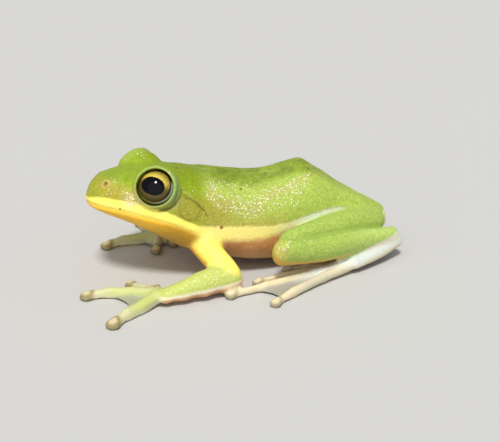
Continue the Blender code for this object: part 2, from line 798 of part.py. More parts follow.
def part_digits(whole, digits, webs, digit_name, side_name, budget, digit_budget):
    """Cuts the digits' free ends from a hand or a foot; returns it and them by name."""
    cutters = []
    for order, digit in enumerate(digits):
        place, forward = at_share(digit, free_reach(webs, order, len(digits)))
        frame = Matrix.Translation(place) @ forward.to_track_quat("X", "Z").to_matrix().to_4x4()
        width = 2 * (digit.half_width + OUTSIDE_A_DIGIT)
        cutters.append(slab((GAP, width, 8 * digit.half_width), frame, "digit cut"))
    cut(whole, cutters)
    bm = bmesh.new()
    bm.from_mesh(whole.data)
    pieces = sorted(islands(bm), key=len, reverse=True)[: len(digits) + 1]
    parts = {}
    taken = set()
    for order, digit in enumerate(digits):
        tip = Vector(digit.path[-1])
        nearest = min(
            range(1, len(pieces)),
            key=lambda number: min((vert.co - tip).length for vert in pieces[number]),
        )
        taken.add(nearest)
        parts[f"{digit_name}_{order + 1}_{side_name}"] = (nearest, digit_budget)
    if len(taken) != len(digits):
        raise ValueError(f"the {side_name} {digit_name}s aren't all parted")
    named = {}
    root_name = "hand" if digit_name == "finger" else "foot"
    parts[f"{root_name}_{side_name}"] = (0, budget)
    for name, (number, triangles) in parts.items():
        copy = bmesh.new()
        copy.from_mesh(whole.data)
        copy.verts.ensure_lookup_table()
        keep = {vert.index for vert in pieces[number]}
        spare = [vert for vert in copy.verts if vert.index not in keep]
        bmesh.ops.delete(copy, geom=spare, context="VERTS")
        named[name] = thin_out(from_bmesh(copy, name), triangles)
    bm.free()
    discard(whole)
    return named


def palm(fingers, forearm):
    """The broad part of a hand, from the wrist to the roots of the fingers."""
    wrist = Vector(forearm[-1].place)
    middle = (Vector(fingers[1].path[0]) + Vector(fingers[3].path[0])) / 2
    stations = (
        LimbStation(tuple(wrist), 2.2, 1.8),
        LimbStation(tuple(wrist.lerp(middle, 0.6)), 2.6, 1.6),
        LimbStation(tuple(middle), 2.9, 1.4),
    )
    return limb(stations, Vector((0, 0, 1)), "palm", segments=16)


def sole(toes, tarsus):
    """The narrow part of a foot, from the ankle to the roots of the toes."""
    ankle = Vector(tarsus[-1].place)
    middle = (Vector(toes[0].path[0]) + Vector(toes[4].path[0])) / 2
    stations = (
        LimbStation(tuple(ankle), 2.3, 1.6),
        LimbStation(tuple(middle), 2.4, 1.5),
        LimbStation(tuple(Vector(toes[2].path[0]).lerp(Vector(toes[2].path[1]), 0.4)), 2.2, 1.3),
    )
    return limb(stations, Vector((0, 0, 1)), "sole", segments=16)


def paint(obj, colour, roughness):
    material = bpy.data.materials.new(obj.name)
    material.use_nodes = True
    shader = material.node_tree.nodes["Principled BSDF"]
    shader.inputs["Base Color"].default_value = colour
    shader.inputs["Roughness"].default_value = roughness
    shader.inputs["Metallic"].default_value = 0.0
    obj.data.materials.clear()
    obj.data.materials.append(material)


def finish(parts):
    """Names and colours the parts, centres the frog over the origin and turns it to metres."""
    places = [vert.co for obj in parts.values() for vert in obj.data.vertices]
    low = [min(place[axis] for place in places) for axis in range(3)]
    high = [max(place[axis] for place in places) for axis in range(3)]
    shift = Vector((-(low[0] + high[0]) / 2, -(low[1] + high[1]) / 2, -low[2]))
    print("frog shifted by", tuple(round(value, 3) for value in shift), "mm")
    place = Matrix.Scale(METRES_PER_MM, 4) @ Matrix.Translation(shift)
    for name, obj in parts.items():
        obj.name = name
        obj.data.name = name
        obj.data.transform(place)
        if name.startswith("eye_"):
            paint(obj, EYE_DARK, 0.05)
        elif name.startswith("eardrum"):
            paint(obj, OLIVE, 0.4)
        elif name.startswith(("lower_jaw", "upper_arm")):
            paint(obj, YELLOW, 0.35)
        elif name.startswith(("finger", "toe", "foot", "tarsus")):
            paint(obj, PALE, 0.35)
        else:
            paint(obj, GREEN, 0.4)
        obj.data.shade_smooth()
        obj.data.set_sharp_from_angle(angle=SHARP_EDGE)


def build():
    for obj in list(bpy.data.objects):
        bpy.data.objects.remove(obj, do_unlink=True)

    parts = part_body(body())
    open_head(parts["head"])
    for side, side_name in ((1, "left"), (-1, "right")):
        centre = HEAD_FRAME @ mirrored(EYE_PLACE, side)
        axis = HEAD_FRAME.to_3x3() @ eye_axis(side)
        parts[f"eye_{side_name}"] = ball([EYE_RADIUS] * 3, facing(centre, axis), "eye", 24, 14)

        seat = eardrum_frame(side, EARDRUM_DEPTH + EARDRUM_SEAT)
        cut(parts["head"], [rod(EARDRUM_RADIUS + GAP, 4 * EARDRUM_THICKNESS, seat, "seat", 20)])
        drum = eardrum_frame(side, EARDRUM_DEPTH)
        parts[f"eardrum_{side_name}"] = rod(EARDRUM_RADIUS, EARDRUM_THICKNESS, drum, "eardrum", 20)
    keep_largest(parts["head"])

    arms = {
        "left": (LEFT_UPPER_ARM, LEFT_FOREARM, LEFT_FINGERS),
        "right": (RIGHT_UPPER_ARM, RIGHT_FOREARM, RIGHT_FINGERS),
    }
    up = Vector((0, 0, 1))
    for side_name, (upper_arm, forearm, fingers) in arms.items():
        trunk_parts = [parts["torso"], parts["head"], parts["lower_jaw"]]
        shoulder = limb(upper_arm, Vector((1, 0, 0.4)), "upper arm")
        shoulder = clear_of(shoulder, trunk_parts, TRIANGLES["upper_arm"])
        lower = clear_of(limb(forearm, up, "forearm"), [shoulder], TRIANGLES["forearm"])
        whole = spread(fingers, FINGER_WEBS, palm(fingers, forearm), "hand")
        whole = clear_of(whole, [lower], ALL_TRIANGLES)
        parts[f"upper_arm_{side_name}"] = shoulder
        parts[f"forearm_{side_name}"] = on_floor(lower)
        parts.update(
            part_digits(
                whole, fingers, FINGER_WEBS, "finger", side_name, TRIANGLES["hand"], TRIANGLES["finger"]
            )
        )

    legs = {
        "left": (LEFT_THIGH, LEFT_SHANK, LEFT_TARSUS, LEFT_TOES, 1),
        "right": (RIGHT_THIGH, RIGHT_SHANK, RIGHT_TARSUS, RIGHT_TOES, -1),
    }
    for side_name, (thigh, shank, tarsus, toes, side) in legs.items():
        leg_up = Vector((LEG_UP.x, LEG_UP.y * side, LEG_UP.z))
        upper = limb(thigh, leg_up, "thigh")
        upper = clear_of(upper, [parts["pelvis"], parts["torso"]], TRIANGLES["thigh"])
        lower = clear_of(limb(shank, leg_up, "shank"), [upper, parts["pelvis"]], TRIANGLES["shank"])
        heel = clear_of(limb(tarsus, up, "tarsus"), [lower, upper], TRIANGLES["tarsus"])
        whole = spread(toes, TOE_WEBS, sole(toes, tarsus), "foot")
        whole = clear_of(whole, [heel, lower], ALL_TRIANGLES)
        parts[f"thigh_{side_name}"] = upper
        parts[f"shank_{side_name}"] = lower
        parts[f"tarsus_{side_name}"] = on_floor(heel)
        parts.update(
            part_digits(whole, toes, TOE_WEBS, "toe", side_name, TRIANGLES["foot"], TRIANGLES["toe"])
        )

    finish(parts)


build()
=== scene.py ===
"""A Chinese flying frog at life size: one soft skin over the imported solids, bright eyes, markings by rule.

Shapes are worked out in millimetres in the frog's own frame, where it faces -X, its left side is toward
-Y and the floor is at z = 0. A finished mesh is turned to metres in the model's frame.
"""

import math

import bmesh
import bpy
import numpy as np
from mathutils import Matrix, Vector, noise
from mathutils.bvhtree import BVHTree


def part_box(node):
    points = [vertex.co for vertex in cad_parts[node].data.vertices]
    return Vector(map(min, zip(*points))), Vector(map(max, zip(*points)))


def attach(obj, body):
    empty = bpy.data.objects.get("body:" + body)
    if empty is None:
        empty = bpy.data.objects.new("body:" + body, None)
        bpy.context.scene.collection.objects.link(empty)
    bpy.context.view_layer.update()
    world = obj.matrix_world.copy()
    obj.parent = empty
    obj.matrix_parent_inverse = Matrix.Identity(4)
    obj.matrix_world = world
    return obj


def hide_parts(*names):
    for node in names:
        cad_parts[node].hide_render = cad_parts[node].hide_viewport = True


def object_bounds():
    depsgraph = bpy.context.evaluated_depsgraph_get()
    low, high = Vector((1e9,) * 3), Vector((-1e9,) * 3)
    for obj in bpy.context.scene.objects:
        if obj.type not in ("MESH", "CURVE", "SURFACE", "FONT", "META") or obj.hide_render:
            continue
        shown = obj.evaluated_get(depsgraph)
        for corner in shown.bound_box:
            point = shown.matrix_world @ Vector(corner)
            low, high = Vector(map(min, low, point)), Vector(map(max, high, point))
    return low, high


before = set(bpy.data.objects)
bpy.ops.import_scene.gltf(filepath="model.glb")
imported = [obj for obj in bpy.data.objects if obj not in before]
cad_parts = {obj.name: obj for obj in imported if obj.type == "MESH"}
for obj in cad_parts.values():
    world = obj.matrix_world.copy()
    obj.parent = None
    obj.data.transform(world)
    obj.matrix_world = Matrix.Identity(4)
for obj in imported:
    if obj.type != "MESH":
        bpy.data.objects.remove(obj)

CAD_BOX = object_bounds()

# The head's own axes: u runs back from the snout tip, v to the head's left, w up through the crown
HEAD_YAW = math.radians(5.4)
HEAD_PITCH = math.radians(13.9)
HEAD_ROLL = math.radians(-3.6)
SNOUT_TIP = Vector((-40.2, -2.9, 20.4))

EYE_RADIUS = 4.6
EYE_PLACE = Vector((14.7, 8.0, 6.75))
EYE_FORWARD = math.radians(26)
EYE_UP = math.radians(18)
LID_EDGE_RADIUS = 4.45
# On the eyeball seen straight on: how far forward and up the pupil and the iris sit, and their half sizes
PUPIL_PLACE = (0.46, 0.1)
PUPIL_HALF_SIZE = (2.8, 2.12)
PUPIL_TILT = math.radians(5)
IRIS_PLACE = (0.4, 0.35)
IRIS_RADIUS = 3.75
EYE_RING_HEIGHT = 0.2
EYE_RING_RADIUS = 3.87
EARDRUM_PLACE = (22.1, 13.0, 4.0)
EARDRUM_RADIUS = 2.5
NOSTRIL_PLACE = (3.1, 4.5, 5.6)
UNDER_EYE_PLACE = (8.4, 10.0, 3.4)
SMUDGE_PLACE = (-6.5, 13.0, 9.8)
# Olive patches behind the eye and on the shoulder, as (middle, half size)
CHEEK_PATCH = ((21.5, 12.5, 3.6), (6.6, 6.0, 4.6))
SHOULDER_PATCH = ((-9.6, 12.4, 17.6), (5.4, 5.0, 5.4))

# How the skin is made: the solids swell until they meet, melt into one another and shrink back
SWELL = 0.3
VOXEL = 0.26
SKIN_TRIANGLES = 190000
SOFTENING_TURNS = 40

# The forearm's scalloped edge: its wave's run from end to end and how far below the outermost line it
# lies, both in radians
SCALLOP_WAVE = 26
SCALLOP_ANGLE = 0.62

# The part that each limb points to on its own side
LIMB_AIMS = {
    "upper_arm": "forearm",
    "forearm": "hand",
    "thigh": "shank",
    "shank": "tarsus",
    "tarsus": "foot",
}

# The limbs' parts, each laid over the ones before
LIMBS = ("upper_arm", "forearm", "hand", "thigh", "shank", "tarsus", "foot")

# Each region of the skin: the solids under it and how strongly its facets are smoothed away
REGIONS = {
    "head": (("head", "eardrum"), 0.3),
    "jaw": (("lower_jaw",), 0.4),
    "trunk": (("torso", "pelvis"), 0.5),
    "upper_arm": (("upper_arm",), 0.4),
    "forearm": (("forearm",), 0.4),
    "hand": (("hand", "finger"), 0.14),
    "thigh": (("thigh",), 0.45),
    "shank": (("shank",), 0.4),
    "tarsus": (("tarsus",), 0.3),
    "foot": (("foot", "toe"), 0.12),
}

# Lines on the head in its own axes: (u, height) of the mouth and of the green's lower edge
MOUTH_LINE = (
    (-2, -0.2), (0.4, -0.1), (2.4, 0.1), (4.7, 0.4), (7.4, 0.6), (10.0, 0.5), (13.0, 0.3), (17.9, -0.1),
    (22.0, -0.9), (25.0, -1.8), (29.5, -3.0),
)
LIP_LINE = (
    (-2, 0.9), (0.3, 1.1), (1.2, 1.8), (2.2, 2.4), (4.0, 2.8), (7.3, 3.1), (10.5, 3.5), (12.6, 3.3),
    (15.1, 2.9), (17.6, 2.3), (20.1, 1.7), (22.7, 0.9), (25.3, 0.3), (30.0, -0.2),
)
# Lines on the trunk in the frog's frame: (x, z) of the green's lower edge, of the belly's colour and of
# the back's darker green
FLANK_LINE = (
    (-15.0, 15.6), (-8.8, 14.7), (-3.1, 14.2), (3.3, 13.5), (8.6, 13.7), (14.1, 14.6), (18.3, 15.0),
    (22.8, 14.8), (26.5, 13.4), (32.0, 10.5), (38.0, 8.0),
)
BELLY_LINE = ((-14.0, 11.6), (-8.8, 11.0), (-3.1, 10.4), (2.0, 10.5), (6.0, 11.2), (10.0, 12.2), (38.0, 6.5))
RIDGE_LINE = (
    (-40.0, 30.0), (-24.0, 29.0), (-12.4, 25.3), (-5.3, 23.2), (2.6, 22.7), (9.5, 23.6), (13.6, 24.6),
    (16.5, 24.4), (22.0, 20.8), (38.0, 12.5),
)
# Lines drawn on the head's side, as (u, w): the fold over the eardrum and the furrow under it, the crease
# behind and under the eye
FOLD = ((19.4, 7.8), (21.2, 7.2), (22.6, 6.7), (24.6, 5.7), (26.4, 4.5), (27.6, 3.1), (28.6, 0.9))
FOLD_LINE = ((20.5, 7.0), (21.0, 6.6), (22.4, 6.1), (23.8, 5.4), (24.9, 4.6), (25.9, 3.8), (26.9, 2.7))
CREASE = ((20.0, 7.9), (19.8, 6.6), (19.1, 5.4), (18.4, 4.3), (17.3, 3.4), (16.4, 3.0), (15.1, 2.7))
# Lines in the head's own axes: the snout's edge and the furrow at the inner foot of the eye's swelling
CANTHUS = ((3.4, 4.4, 6.6), (6.0, 6.2, 7.3), (9.4, 7.2, 8.2))
BROW = ((8.6, 1.6, 9.3), (11.2, 0.9, 9.9), (12.9, 1.5, 10.2), (14.6, 2.4, 10.5), (17.6, 3.4, 11.2))

# The upper edge of the heel's pale underside, as (x, z)
HEEL_LINE = (
    (20.0, 1.0), (23.0, 3.2), (25.9, 4.8), (27.7, 5.5), (30.1, 6.1), (34.5, 6.8), (36.4, 7.2), (37.5, 7.8),
    (38.6, 10.0), (42.0, 12.0),
)

# The pale band along the inner edge of the foot's outer half, seen from above, as (x, y, 0); its top is
# painted lighter, as painted light where the shank's shadow falls
FOOT_BAND = ((24.0, 14.9, 0), (17.6, 16.4, 0), (12.1, 17.7, 0), (8.0, 18.8, 0))

# The hip bones' knob and ridge under the back's skin
HIP_BONE = (15.2, 5.4, 23.8)
HIP_LINE = ((6.0, 4.4, 22.9), (12.0, 4.9, 24.0), (15.0, 5.1, 24.1), (22.0, 5.2, 19.6), (30.0, 4.0, 14.4))

# Clusters of tiny pale points on the head and limbs, as (place, radius, strength): partly the skin's own pale
# flecks and partly painted glints of light on its wet granules
HEAD_FLECKS_AND_GLINTS = (
    ((3.4, 4.3, 6.6), 1.1, 0.9),
    ((4.8, 5.0, 7.0), 1.1, 0.9),
    ((3.8, 6.7, 3.8), 0.8, 0.8),
    ((4.7, 7.0, 5.0), 0.7, 0.8),
    ((6.2, 8.0, 5.1), 0.9, 0.6),
    ((8.0, 9.5, 3.9), 1.3, 1.0),
    ((9.2, 10.2, 3.2), 1.2, 0.9),
    ((13.2, 6.4, 11.6), 1.5, 0.4),
    # Painted glints on the lid's upper rear edge
    ((15.8, 10.4, 11.4), 1.3, 1.0),
    ((21.8, 10.2, 8.3), 1.6, 0.16),
)
LIMB_FLECKS_AND_GLINTS = {
    "shank_left": (
        ((3.9, -22.3, 10.8), 1.5, 1.0),
        ((5.4, -21.7, 12.8), 1.4, 0.5),
        ((10.6, -19.7, 12.2), 1.5, 0.4),
    ),
    "shank_right": (((2.4, 22.6, 10.6), 1.6, 1.0), ((4.0, 22.8, 12.2), 1.4, 0.5)),
    "upper_arm_left": (((-15.0, -13.9, 11.4), 1.3, 0.9), ((-14.6, -14.4, 9.8), 1.0, 0.6)),
    "upper_arm_right": (((-13.6, 13.9, 11.4), 1.3, 0.9),),
}
# The flank's band of pale points, flecks and painted glints: its upper and lower edges as (x, z), and the
# line along which they crowd
BAND_TOP = ((-12.0, 24.2), (-7.3, 23.8), (-2.0, 22.6), (3.8, 21.8), (7.3, 21.9), (10.3, 22.9), (15.4, 24.2))
BAND_FOOT = (
    (-11.8, 21.6), (-9.9, 18.8), (-8.5, 17.8), (-5.1, 16.7), (-1.5, 15.5), (2.4, 16.3), (5.3, 16.9),
    (9.1, 16.4), (12.1, 18.6), (13.8, 21.0), (15.6, 23.6),
)
CROWDED = (
    (-10.9, 8.6, 23.0), (-10.2, 10.8, 20.9), (-9.6, 11.6, 19.6), (-6.9, 11.6, 19.1), (-5.0, 11.1, 19.5),
    (-2.8, 11.6, 18.3), (0.0, 11.6, 17.5), (1.8, 10.2, 19.4), (4.0, 9.5, 20.0), (6.0, 8.5, 20.7),
    (8.5, 8.1, 21.2), (11.2, 6.8, 22.5), (14.8, 5.9, 23.4),
)
# Small dark spots that this frog has on its left side and crown, as (place, radius)
SPOTS = (
    ((-32.7, -11.1, 20.4), 0.32),
    ((-22.5, -12.7, 14.2), 0.26),
    ((-8.9, -13.1, 14.3), 0.5),
    ((-3.5, -13.0, 14.6), 0.26),
    ((-17.7, -2.5, 26.6), 0.6),
    ((-3.0, -8.1, 21.9), 0.4),
)

# Each digit seen from above: its line from the palm or sole out to the pad, as (x, y), its half width and
# its pad's half width
DIGITS = (
    (((-25.0, -19.8), (-25.1, -17.2), (-25.5, -14.6)), 0.95, 1.4),
    (((-26.0, -19.8), (-28.8, -15.8), (-31.0, -11.6)), 1.05, 1.7),
    (((-26.6, -20.4), (-31.5, -17.4), (-37.0, -15.8), (-42.0, -15.4)), 1.25, 1.95),
    (((-26.4, -22.0), (-30.2, -25.2), (-34.0, -28.0), (-37.4, -31.2)), 1.4, 1.9),
    (((-20.4, 14.2), (-18.6, 12.8), (-17.2, 10.8)), 0.95, 1.4),
    (((-21.2, 13.4), (-21.4, 10.8), (-22.3, 7.4)), 1.05, 1.7),
    (((-21.9, 14.4), (-26.4, 14.9), (-30.6, 14.8), (-34.6, 13.5)), 1.25, 1.95),
    (((-21.4, 16.6), (-22.6, 20.4), (-23.4, 23.8), (-23.8, 27.2)), 1.25, 1.9),
    (((23.2, -13.4), (19.0, -11.4), (14.6, -9.4)), 0.75, 1.1),
    (((23.0, -13.9), (17.5, -13.0), (12.5, -12.4), (7.6, -12.0)), 0.8, 1.2),
    (((22.8, -14.5), (15.0, -14.8), (6.4, -16.0), (-1.1, -17.2)), 0.85, 1.35),
    (((22.6, -15.2), (13.0, -17.1), (0.5, -20.5), (-8.8, -22.7)), 0.95, 1.55),
    (((22.4, -16.0), (15.0, -19.6), (6.0, -25.2), (0.5, -29.1)), 1.05, 1.5),
    (((23.2, 13.4), (18.8, 11.4), (14.2, 9.8)), 0.75, 1.1),
    (((23.0, 13.9), (17.5, 13.2), (12.2, 13.2), (7.0, 13.6)), 0.8, 1.2),
    (((22.8, 14.5), (15.0, 15.4), (6.8, 17.4), (-0.6, 19.6)), 0.85, 1.35),
    (((22.6, 15.2), (13.0, 17.8), (1.2, 21.9), (-7.4, 24.9)), 0.95, 1.55),
    (((22.4, 16.0), (15.4, 20.0), (6.8, 25.8), (2.4, 30.2)), 1.05, 1.5),
)
# The middles of the palms and soles, where no web is
PALMS = ((-25.6, -20.6, 2.0), (-21.2, 14.8, 2.0), (22.8, -14.7, 2.0), (22.8, 14.7, 2.0))
PALM_REACH = 3.4

# The camera's place as seen from the frog: how far ahead of its left side and how far up
CAMERA_AZIMUTH = math.radians(-13)
CAMERA_ELEVATION = math.radians(22)
CAMERA_METRES_AWAY = 0.25
CAMERA_LENS = 72
CAMERA_TARGET = Vector((0, -5, 12))
# Each lamp: the way from the frog to it, its strength and its width in degrees
SUNS = {"key": ((-0.15, -0.48, 0.87), 2.85, 12), "fill": ((-0.35, -0.85, 0.4), 0.7, 85)}


def seen(red, green, blue):
    """A colour given as a screen shows it, as the shader's own numbers."""
    shares = [value / 255 for value in (red, green, blue)]
    return tuple([s / 12.92 if s <= 0.04045 else ((s + 0.055) / 1.055) ** 2.4 for s in shares]) + (1.0,)


BACK_GREEN = seen(128, 148, 8)
BACK_DARK = seen(108, 126, 8)
LIME_GREEN = seen(168, 190, 82)
CROWN_GREEN = seen(144, 168, 34)
CHEEK_GREEN = seen(154, 174, 42)
FLANK_OLIVE = seen(178, 170, 82)
THIGH_GREEN = seen(164, 188, 86)
SNOUT_OLIVE = seen(172, 158, 54)
CHEEK_OLIVE = seen(158, 148, 52)
FLECK_BROWN = seen(96, 104, 34)
LIP_YELLOW = seen(255, 238, 112)
JAW_ORANGE = seen(246, 194, 58)
# The jaw's rear and the throat: their yellows darkened as painted shade
JAW_REAR_SHADE = seen(196, 150, 46)
THROAT_SHADED_YELLOW = seen(196, 148, 42)
STRIPE_CREAM = seen(246, 232, 136)
GROIN_WHITE = seen(206, 212, 186)
EDGE_BROWN = seen(146, 120, 62)
BELLY_BROWN = seen(194, 136, 78)
BELLY_CREAM = seen(210, 166, 116)
ARM_YELLOW = seen(252, 180, 46)
FOREARM_GREEN = seen(190, 202, 104)
FOREARM_WHITE = seen(238, 230, 196)
FOREARM_PINK = seen(200, 154, 108)
HAND_GREEN = seen(194, 204, 122)
FINGER_CREAM = seen(208, 206, 160)
PAD_CREAM = seen(212, 198, 156)
PAD_OCHRE = seen(140, 120, 70)
KNEE_YELLOW = seen(206, 192, 92)
RIM_ORANGE = seen(216, 172, 82)
RIM_WHITE = seen(224, 220, 196)
INNER_LEG = seen(206, 178, 126)
FOOT_WHITE = seen(206, 214, 208)
LIT_BAND_WHITE = seen(232, 242, 244)
FOOT_CREAM = seen(206, 198, 172)
TARSUS_UNDER_SHADE = seen(160, 136, 108)
TOE_CREAM = seen(226, 214, 176)
WEB_GREY = seen(150, 152, 144)
FLECK_AND_GLINT_WHITE = seen(255, 250, 226)
POINT_GROUND = seen(176, 152, 92)
LID_GREEN = seen(162, 184, 98)
LID_TURQUOISE = seen(128, 164, 116)
LID_SHADE = seen(150, 152, 88)
UNDER_EYE = seen(238, 214, 166)
SEAM_SHADE_GREEN = seen(128, 158, 58)
HEEL_GREEN = seen(188, 212, 116)
SMUDGE = seen(146, 104, 92)
RUMP_CREAM = seen(224, 220, 160)
CREASE_SHADE_BROWN = seen(104, 90, 34)
MOUTH_SHADOW_BROWN = seen(176, 124, 38)
SPOT_BROWN_AND_NOSTRIL_SHADE = seen(124, 76, 38)
IRIS_GOLD = seen(208, 184, 78)
IRIS_GOLD_EDGE = seen(104, 92, 34)
IRIS_SPECKS = seen(92, 80, 30)
IRIS_BRONZE = seen(94, 82, 42)
IRIS_BRONZE_EDGE = seen(72, 60, 24)
IRIS_THREADS = seen(56, 48, 18)
IRIS_RIM = seen(52, 46, 20)
EYE_CORNER_DARK = seen(58, 54, 24)
EYE_CORNER_OLIVE = seen(122, 116, 54)
LID_EDGE_TAN = seen(160, 142, 86)
LID_EDGE_PALE = seen(206, 212, 192)
PUPIL_BLACK = seen(3, 5, 13)
FLOOR_GREY = seen(196, 196, 194)


def head_matrix():
    """Carries the head's own axes into the frog's."""
    turn = (
        Matrix.Rotation(HEAD_YAW, 3, "Z")
        @ Matrix.Rotation(HEAD_PITCH, 3, "Y")
        @ Matrix.Rotation(HEAD_ROLL, 3, "X")
    )
    own_axes = Matrix(((1, 0, 0), (0, -1, 0), (0, 0, 1)))
    return Matrix.Translation(SNOUT_TIP) @ (turn @ own_axes).to_4x4()


HEAD = head_matrix()
TO_HEAD = HEAD.inverted()
left_eye_low, left_eye_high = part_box("eye_left")
SHIFT = (left_eye_low + left_eye_high) / 2 * 1000 - HEAD @ EYE_PLACE
TO_MODEL = Matrix.Scale(0.001, 4) @ Matrix.Translation(SHIFT)
TO_FROG = TO_MODEL.inverted()


def eye_axis(side):
    """The way that an eye looks, in the head's own axes; side is 1 for the left and -1 for the right."""
    return Vector(
        (
            -math.sin(EYE_FORWARD) * math.cos(EYE_UP),
            math.cos(EYE_FORWARD) * math.cos(EYE_UP) * side,
            math.sin(EYE_UP),
        )
    )


def moved(places, matrix):
    """An array of places carried by a matrix."""
    table = np.array(matrix)
    return places @ table[:3, :3].T + table[:3, 3]


def folded(places):
    """The places with one side mirrored onto the other, so that both sides follow one rule."""
    return np.column_stack((places[:, 0], np.abs(places[:, 1]), places[:, 2]))


def distance_from(places, target):
    return np.linalg.norm(places - np.array(target), axis=1)


def distance_from_nearest(places, targets):
    return np.min([distance_from(places, target) for target in targets], axis=0)


def smooth_step(values, low, high):
    share = np.clip((values - low) / (high - low), 0, 1)
    return share * share * (3 - 2 * share)


def hill(distance, width):
    """1 at distance 0, falling softly to nothing at about twice the width."""
    return np.exp(-((distance / width) ** 2))


def height_of(line, at):
    """The second number of a line of pairs where its first number is at."""
    table = np.array(line, float)
    return np.interp(at, table[:, 0], table[:, 1])


def distance_to(places, line):
    """How far places are from a line of straight stretches, and how far along it their nearest point lies."""
    nearest = np.full(len(places), np.inf)
    run = np.zeros(len(places))
    before = 0.0
    for start, end in zip(line, line[1:]):
        start = np.array(start, float)
        stretch = np.array(end, float) - start
        length = np.linalg.norm(stretch)
        share = np.clip((places - start) @ stretch / length**2, 0, 1)
        gap = np.linalg.norm(places - start - share[:, None] * stretch, axis=1)
        nearer = gap < nearest
        nearest = np.where(nearer, gap, nearest)
        run = np.where(nearer, before + share * length, run)
        before += length
    return nearest, run


class Surface:
    """A mesh's vertices as arrays, with means over their neighbours."""

    def __init__(self, mesh):
        self.mesh = mesh
        self.count = len(mesh.vertices)
        ends = np.empty(len(mesh.edges) * 2, np.int32)
        mesh.edges.foreach_get("vertices", ends)
        one, other = ends.reshape(-1, 2).T
        self.here = np.concatenate((one, other))
        self.there = np.concatenate((other, one))
        self.valence = np.maximum(np.bincount(self.here, minlength=self.count), 1)

    def triples(self, source, name):
        values = np.empty(self.count * 3, np.float32)
        source.foreach_get(name, values)
        return values.reshape(-1, 3).astype(float)

    def places(self):
        return self.triples(self.mesh.vertices, "co")

    def normals(self):
        return self.triples(self.mesh.vertex_normals, "vector")

    def put(self, places):
        self.mesh.vertices.foreach_set("co", places.astype(np.float32).ravel())
        self.mesh.update()

    def softened(self, values, share, turns):
        """Values drawn this share of the way to their neighbours' mean, this many times."""
        for _ in range(turns):
            columns = [
                np.bincount(self.here, values[self.there, column], self.count)
                for column in range(values.shape[1])
            ]
            values = values + share * (np.stack(columns, 1) / self.valence[:, None] - values)
        return values

    def keep(self, **fields):
        """Stores under each name one number for each vertex, for a material to read."""
        for name, values in fields.items():
            made = self.mesh.attributes.new(name, "FLOAT", "POINT")
            made.data.foreach_set("value", values.astype(np.float32))


def linked(name, data):
    """A new object in the scene."""
    obj = bpy.data.objects.new(name, data)
    bpy.context.scene.collection.objects.link(obj)
    return obj


def built(name, bm):
    """A new object in the scene from a bmesh, which is used up."""
    mesh = bpy.data.meshes.new(name)
    bm.to_mesh(mesh)
    bm.free()
    return linked(name, mesh)


def flesh_nodes():
    return {name: node for name, node in sorted(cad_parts.items()) if not name.startswith("eye_")}


def region_of(name):
    for region, (starts, _) in REGIONS.items():
        if name.startswith(starts):
            return region
    raise ValueError(f"no region of the skin covers {name}")


def melted(nodes):
    """One skin over all the solids, their gaps closed, in the frog's own frame."""
    bm = bmesh.new()
    for node in nodes.values():
        bm.from_mesh(node.data)
    bmesh.ops.remove_doubles(bm, verts=bm.verts, dist=1e-6)
    bmesh.ops.transform(bm, matrix=TO_FROG, verts=bm.verts)
    skin = built("skin", bm)
    swell = skin.modifiers.new("swell", "DISPLACE")
    swell.strength = SWELL
    swell.mid_level = 0
    melt = skin.modifiers.new("melt", "REMESH")
    melt.mode = "VOXEL"
    melt.voxel_size = VOXEL
    settle(skin)
    drop_loose_bits(skin.data)
    return skin


def settle(obj):
    """Turns an object's modifiers into its own mesh."""
    evaluated = obj.evaluated_get(bpy.context.evaluated_depsgraph_get())
    mesh = bpy.data.meshes.new_from_object(evaluated)
    obj.modifiers.clear()
    obj.data = mesh


def drop_loose_bits(mesh):
    """Keeps only the largest closed surface of a mesh."""
    surface = Surface(mesh)
    label = np.arange(surface.count)
    while True:
        lowest = label.copy()
        np.minimum.at(lowest, surface.here, label[surface.there])
        lowest = lowest[lowest]
        if np.array_equal(lowest, label):
            break
        label = lowest
    names, sizes = np.unique(label, return_counts=True)
    if len(names) == 1:
        return
    spare = np.flatnonzero(label != names[np.argmax(sizes)])
    bm = bmesh.new()
    bm.from_mesh(mesh)
    bm.verts.ensure_lookup_table()
    bmesh.ops.delete(bm, geom=[bm.verts[order] for order in spare], context="VERTS")
    bm.to_mesh(mesh)
    bm.free()


class Anatomy:
    """Where each vertex of the skin is on the frog."""

    def __init__(self, surface, nodes):
        self.places = surface.places()
        corners = []
        faces = []
        owner = []
        for number, node in enumerate(nodes.values()):
            start = len(corners)
            corners += [TO_FROG @ vert.co for vert in node.data.vertices]
            for face in node.data.polygons:
                faces.append([start + order for order in face.vertices])
                owner.append(number)
        tree = BVHTree.FromPolygons(corners, faces)
        nearest = [owner[tree.find_nearest(place)[2]] for place in self.places]
        regions = list(REGIONS)
        number_of = np.array([regions.index(region_of(name)) for name in nodes])
        whole = np.zeros((surface.count, len(regions)))
        whole[np.arange(surface.count), number_of[nearest]] = 1
        self.weights = dict(zip(regions, surface.softened(whole, 0.5, 14).T))

    def softening(self):
        return sum(self.weights[name] * share for name, (_, share) in REGIONS.items())


def on_cheek(both, line):
    """How far places are from a line drawn on the head's side, and how far along it they are."""
    gap, run = distance_to(both * np.array((1, 0, 1)), [(u, 0, w) for u, w in line])
    return gap + 4 * np.maximum(8 - both[:, 1], 0), run


def around_eye(both):
    """Where places are from the eye's middle, how far ahead of it and how far off its axis."""
    axis = np.array(eye_axis(1))
    from_eye = both - np.array(EYE_PLACE)
    ahead = from_eye @ axis
    return from_eye, ahead, np.linalg.norm(from_eye - ahead[:, None] * axis, axis=1)


def around_eardrum(both):
    """How far places on the head's side are from the eardrum's middle."""
    offset = both - np.array(EARDRUM_PLACE)
    return np.hypot(offset[:, 0], offset[:, 2]) + 4 * np.maximum(np.abs(offset[:, 1]) - 2, 0)


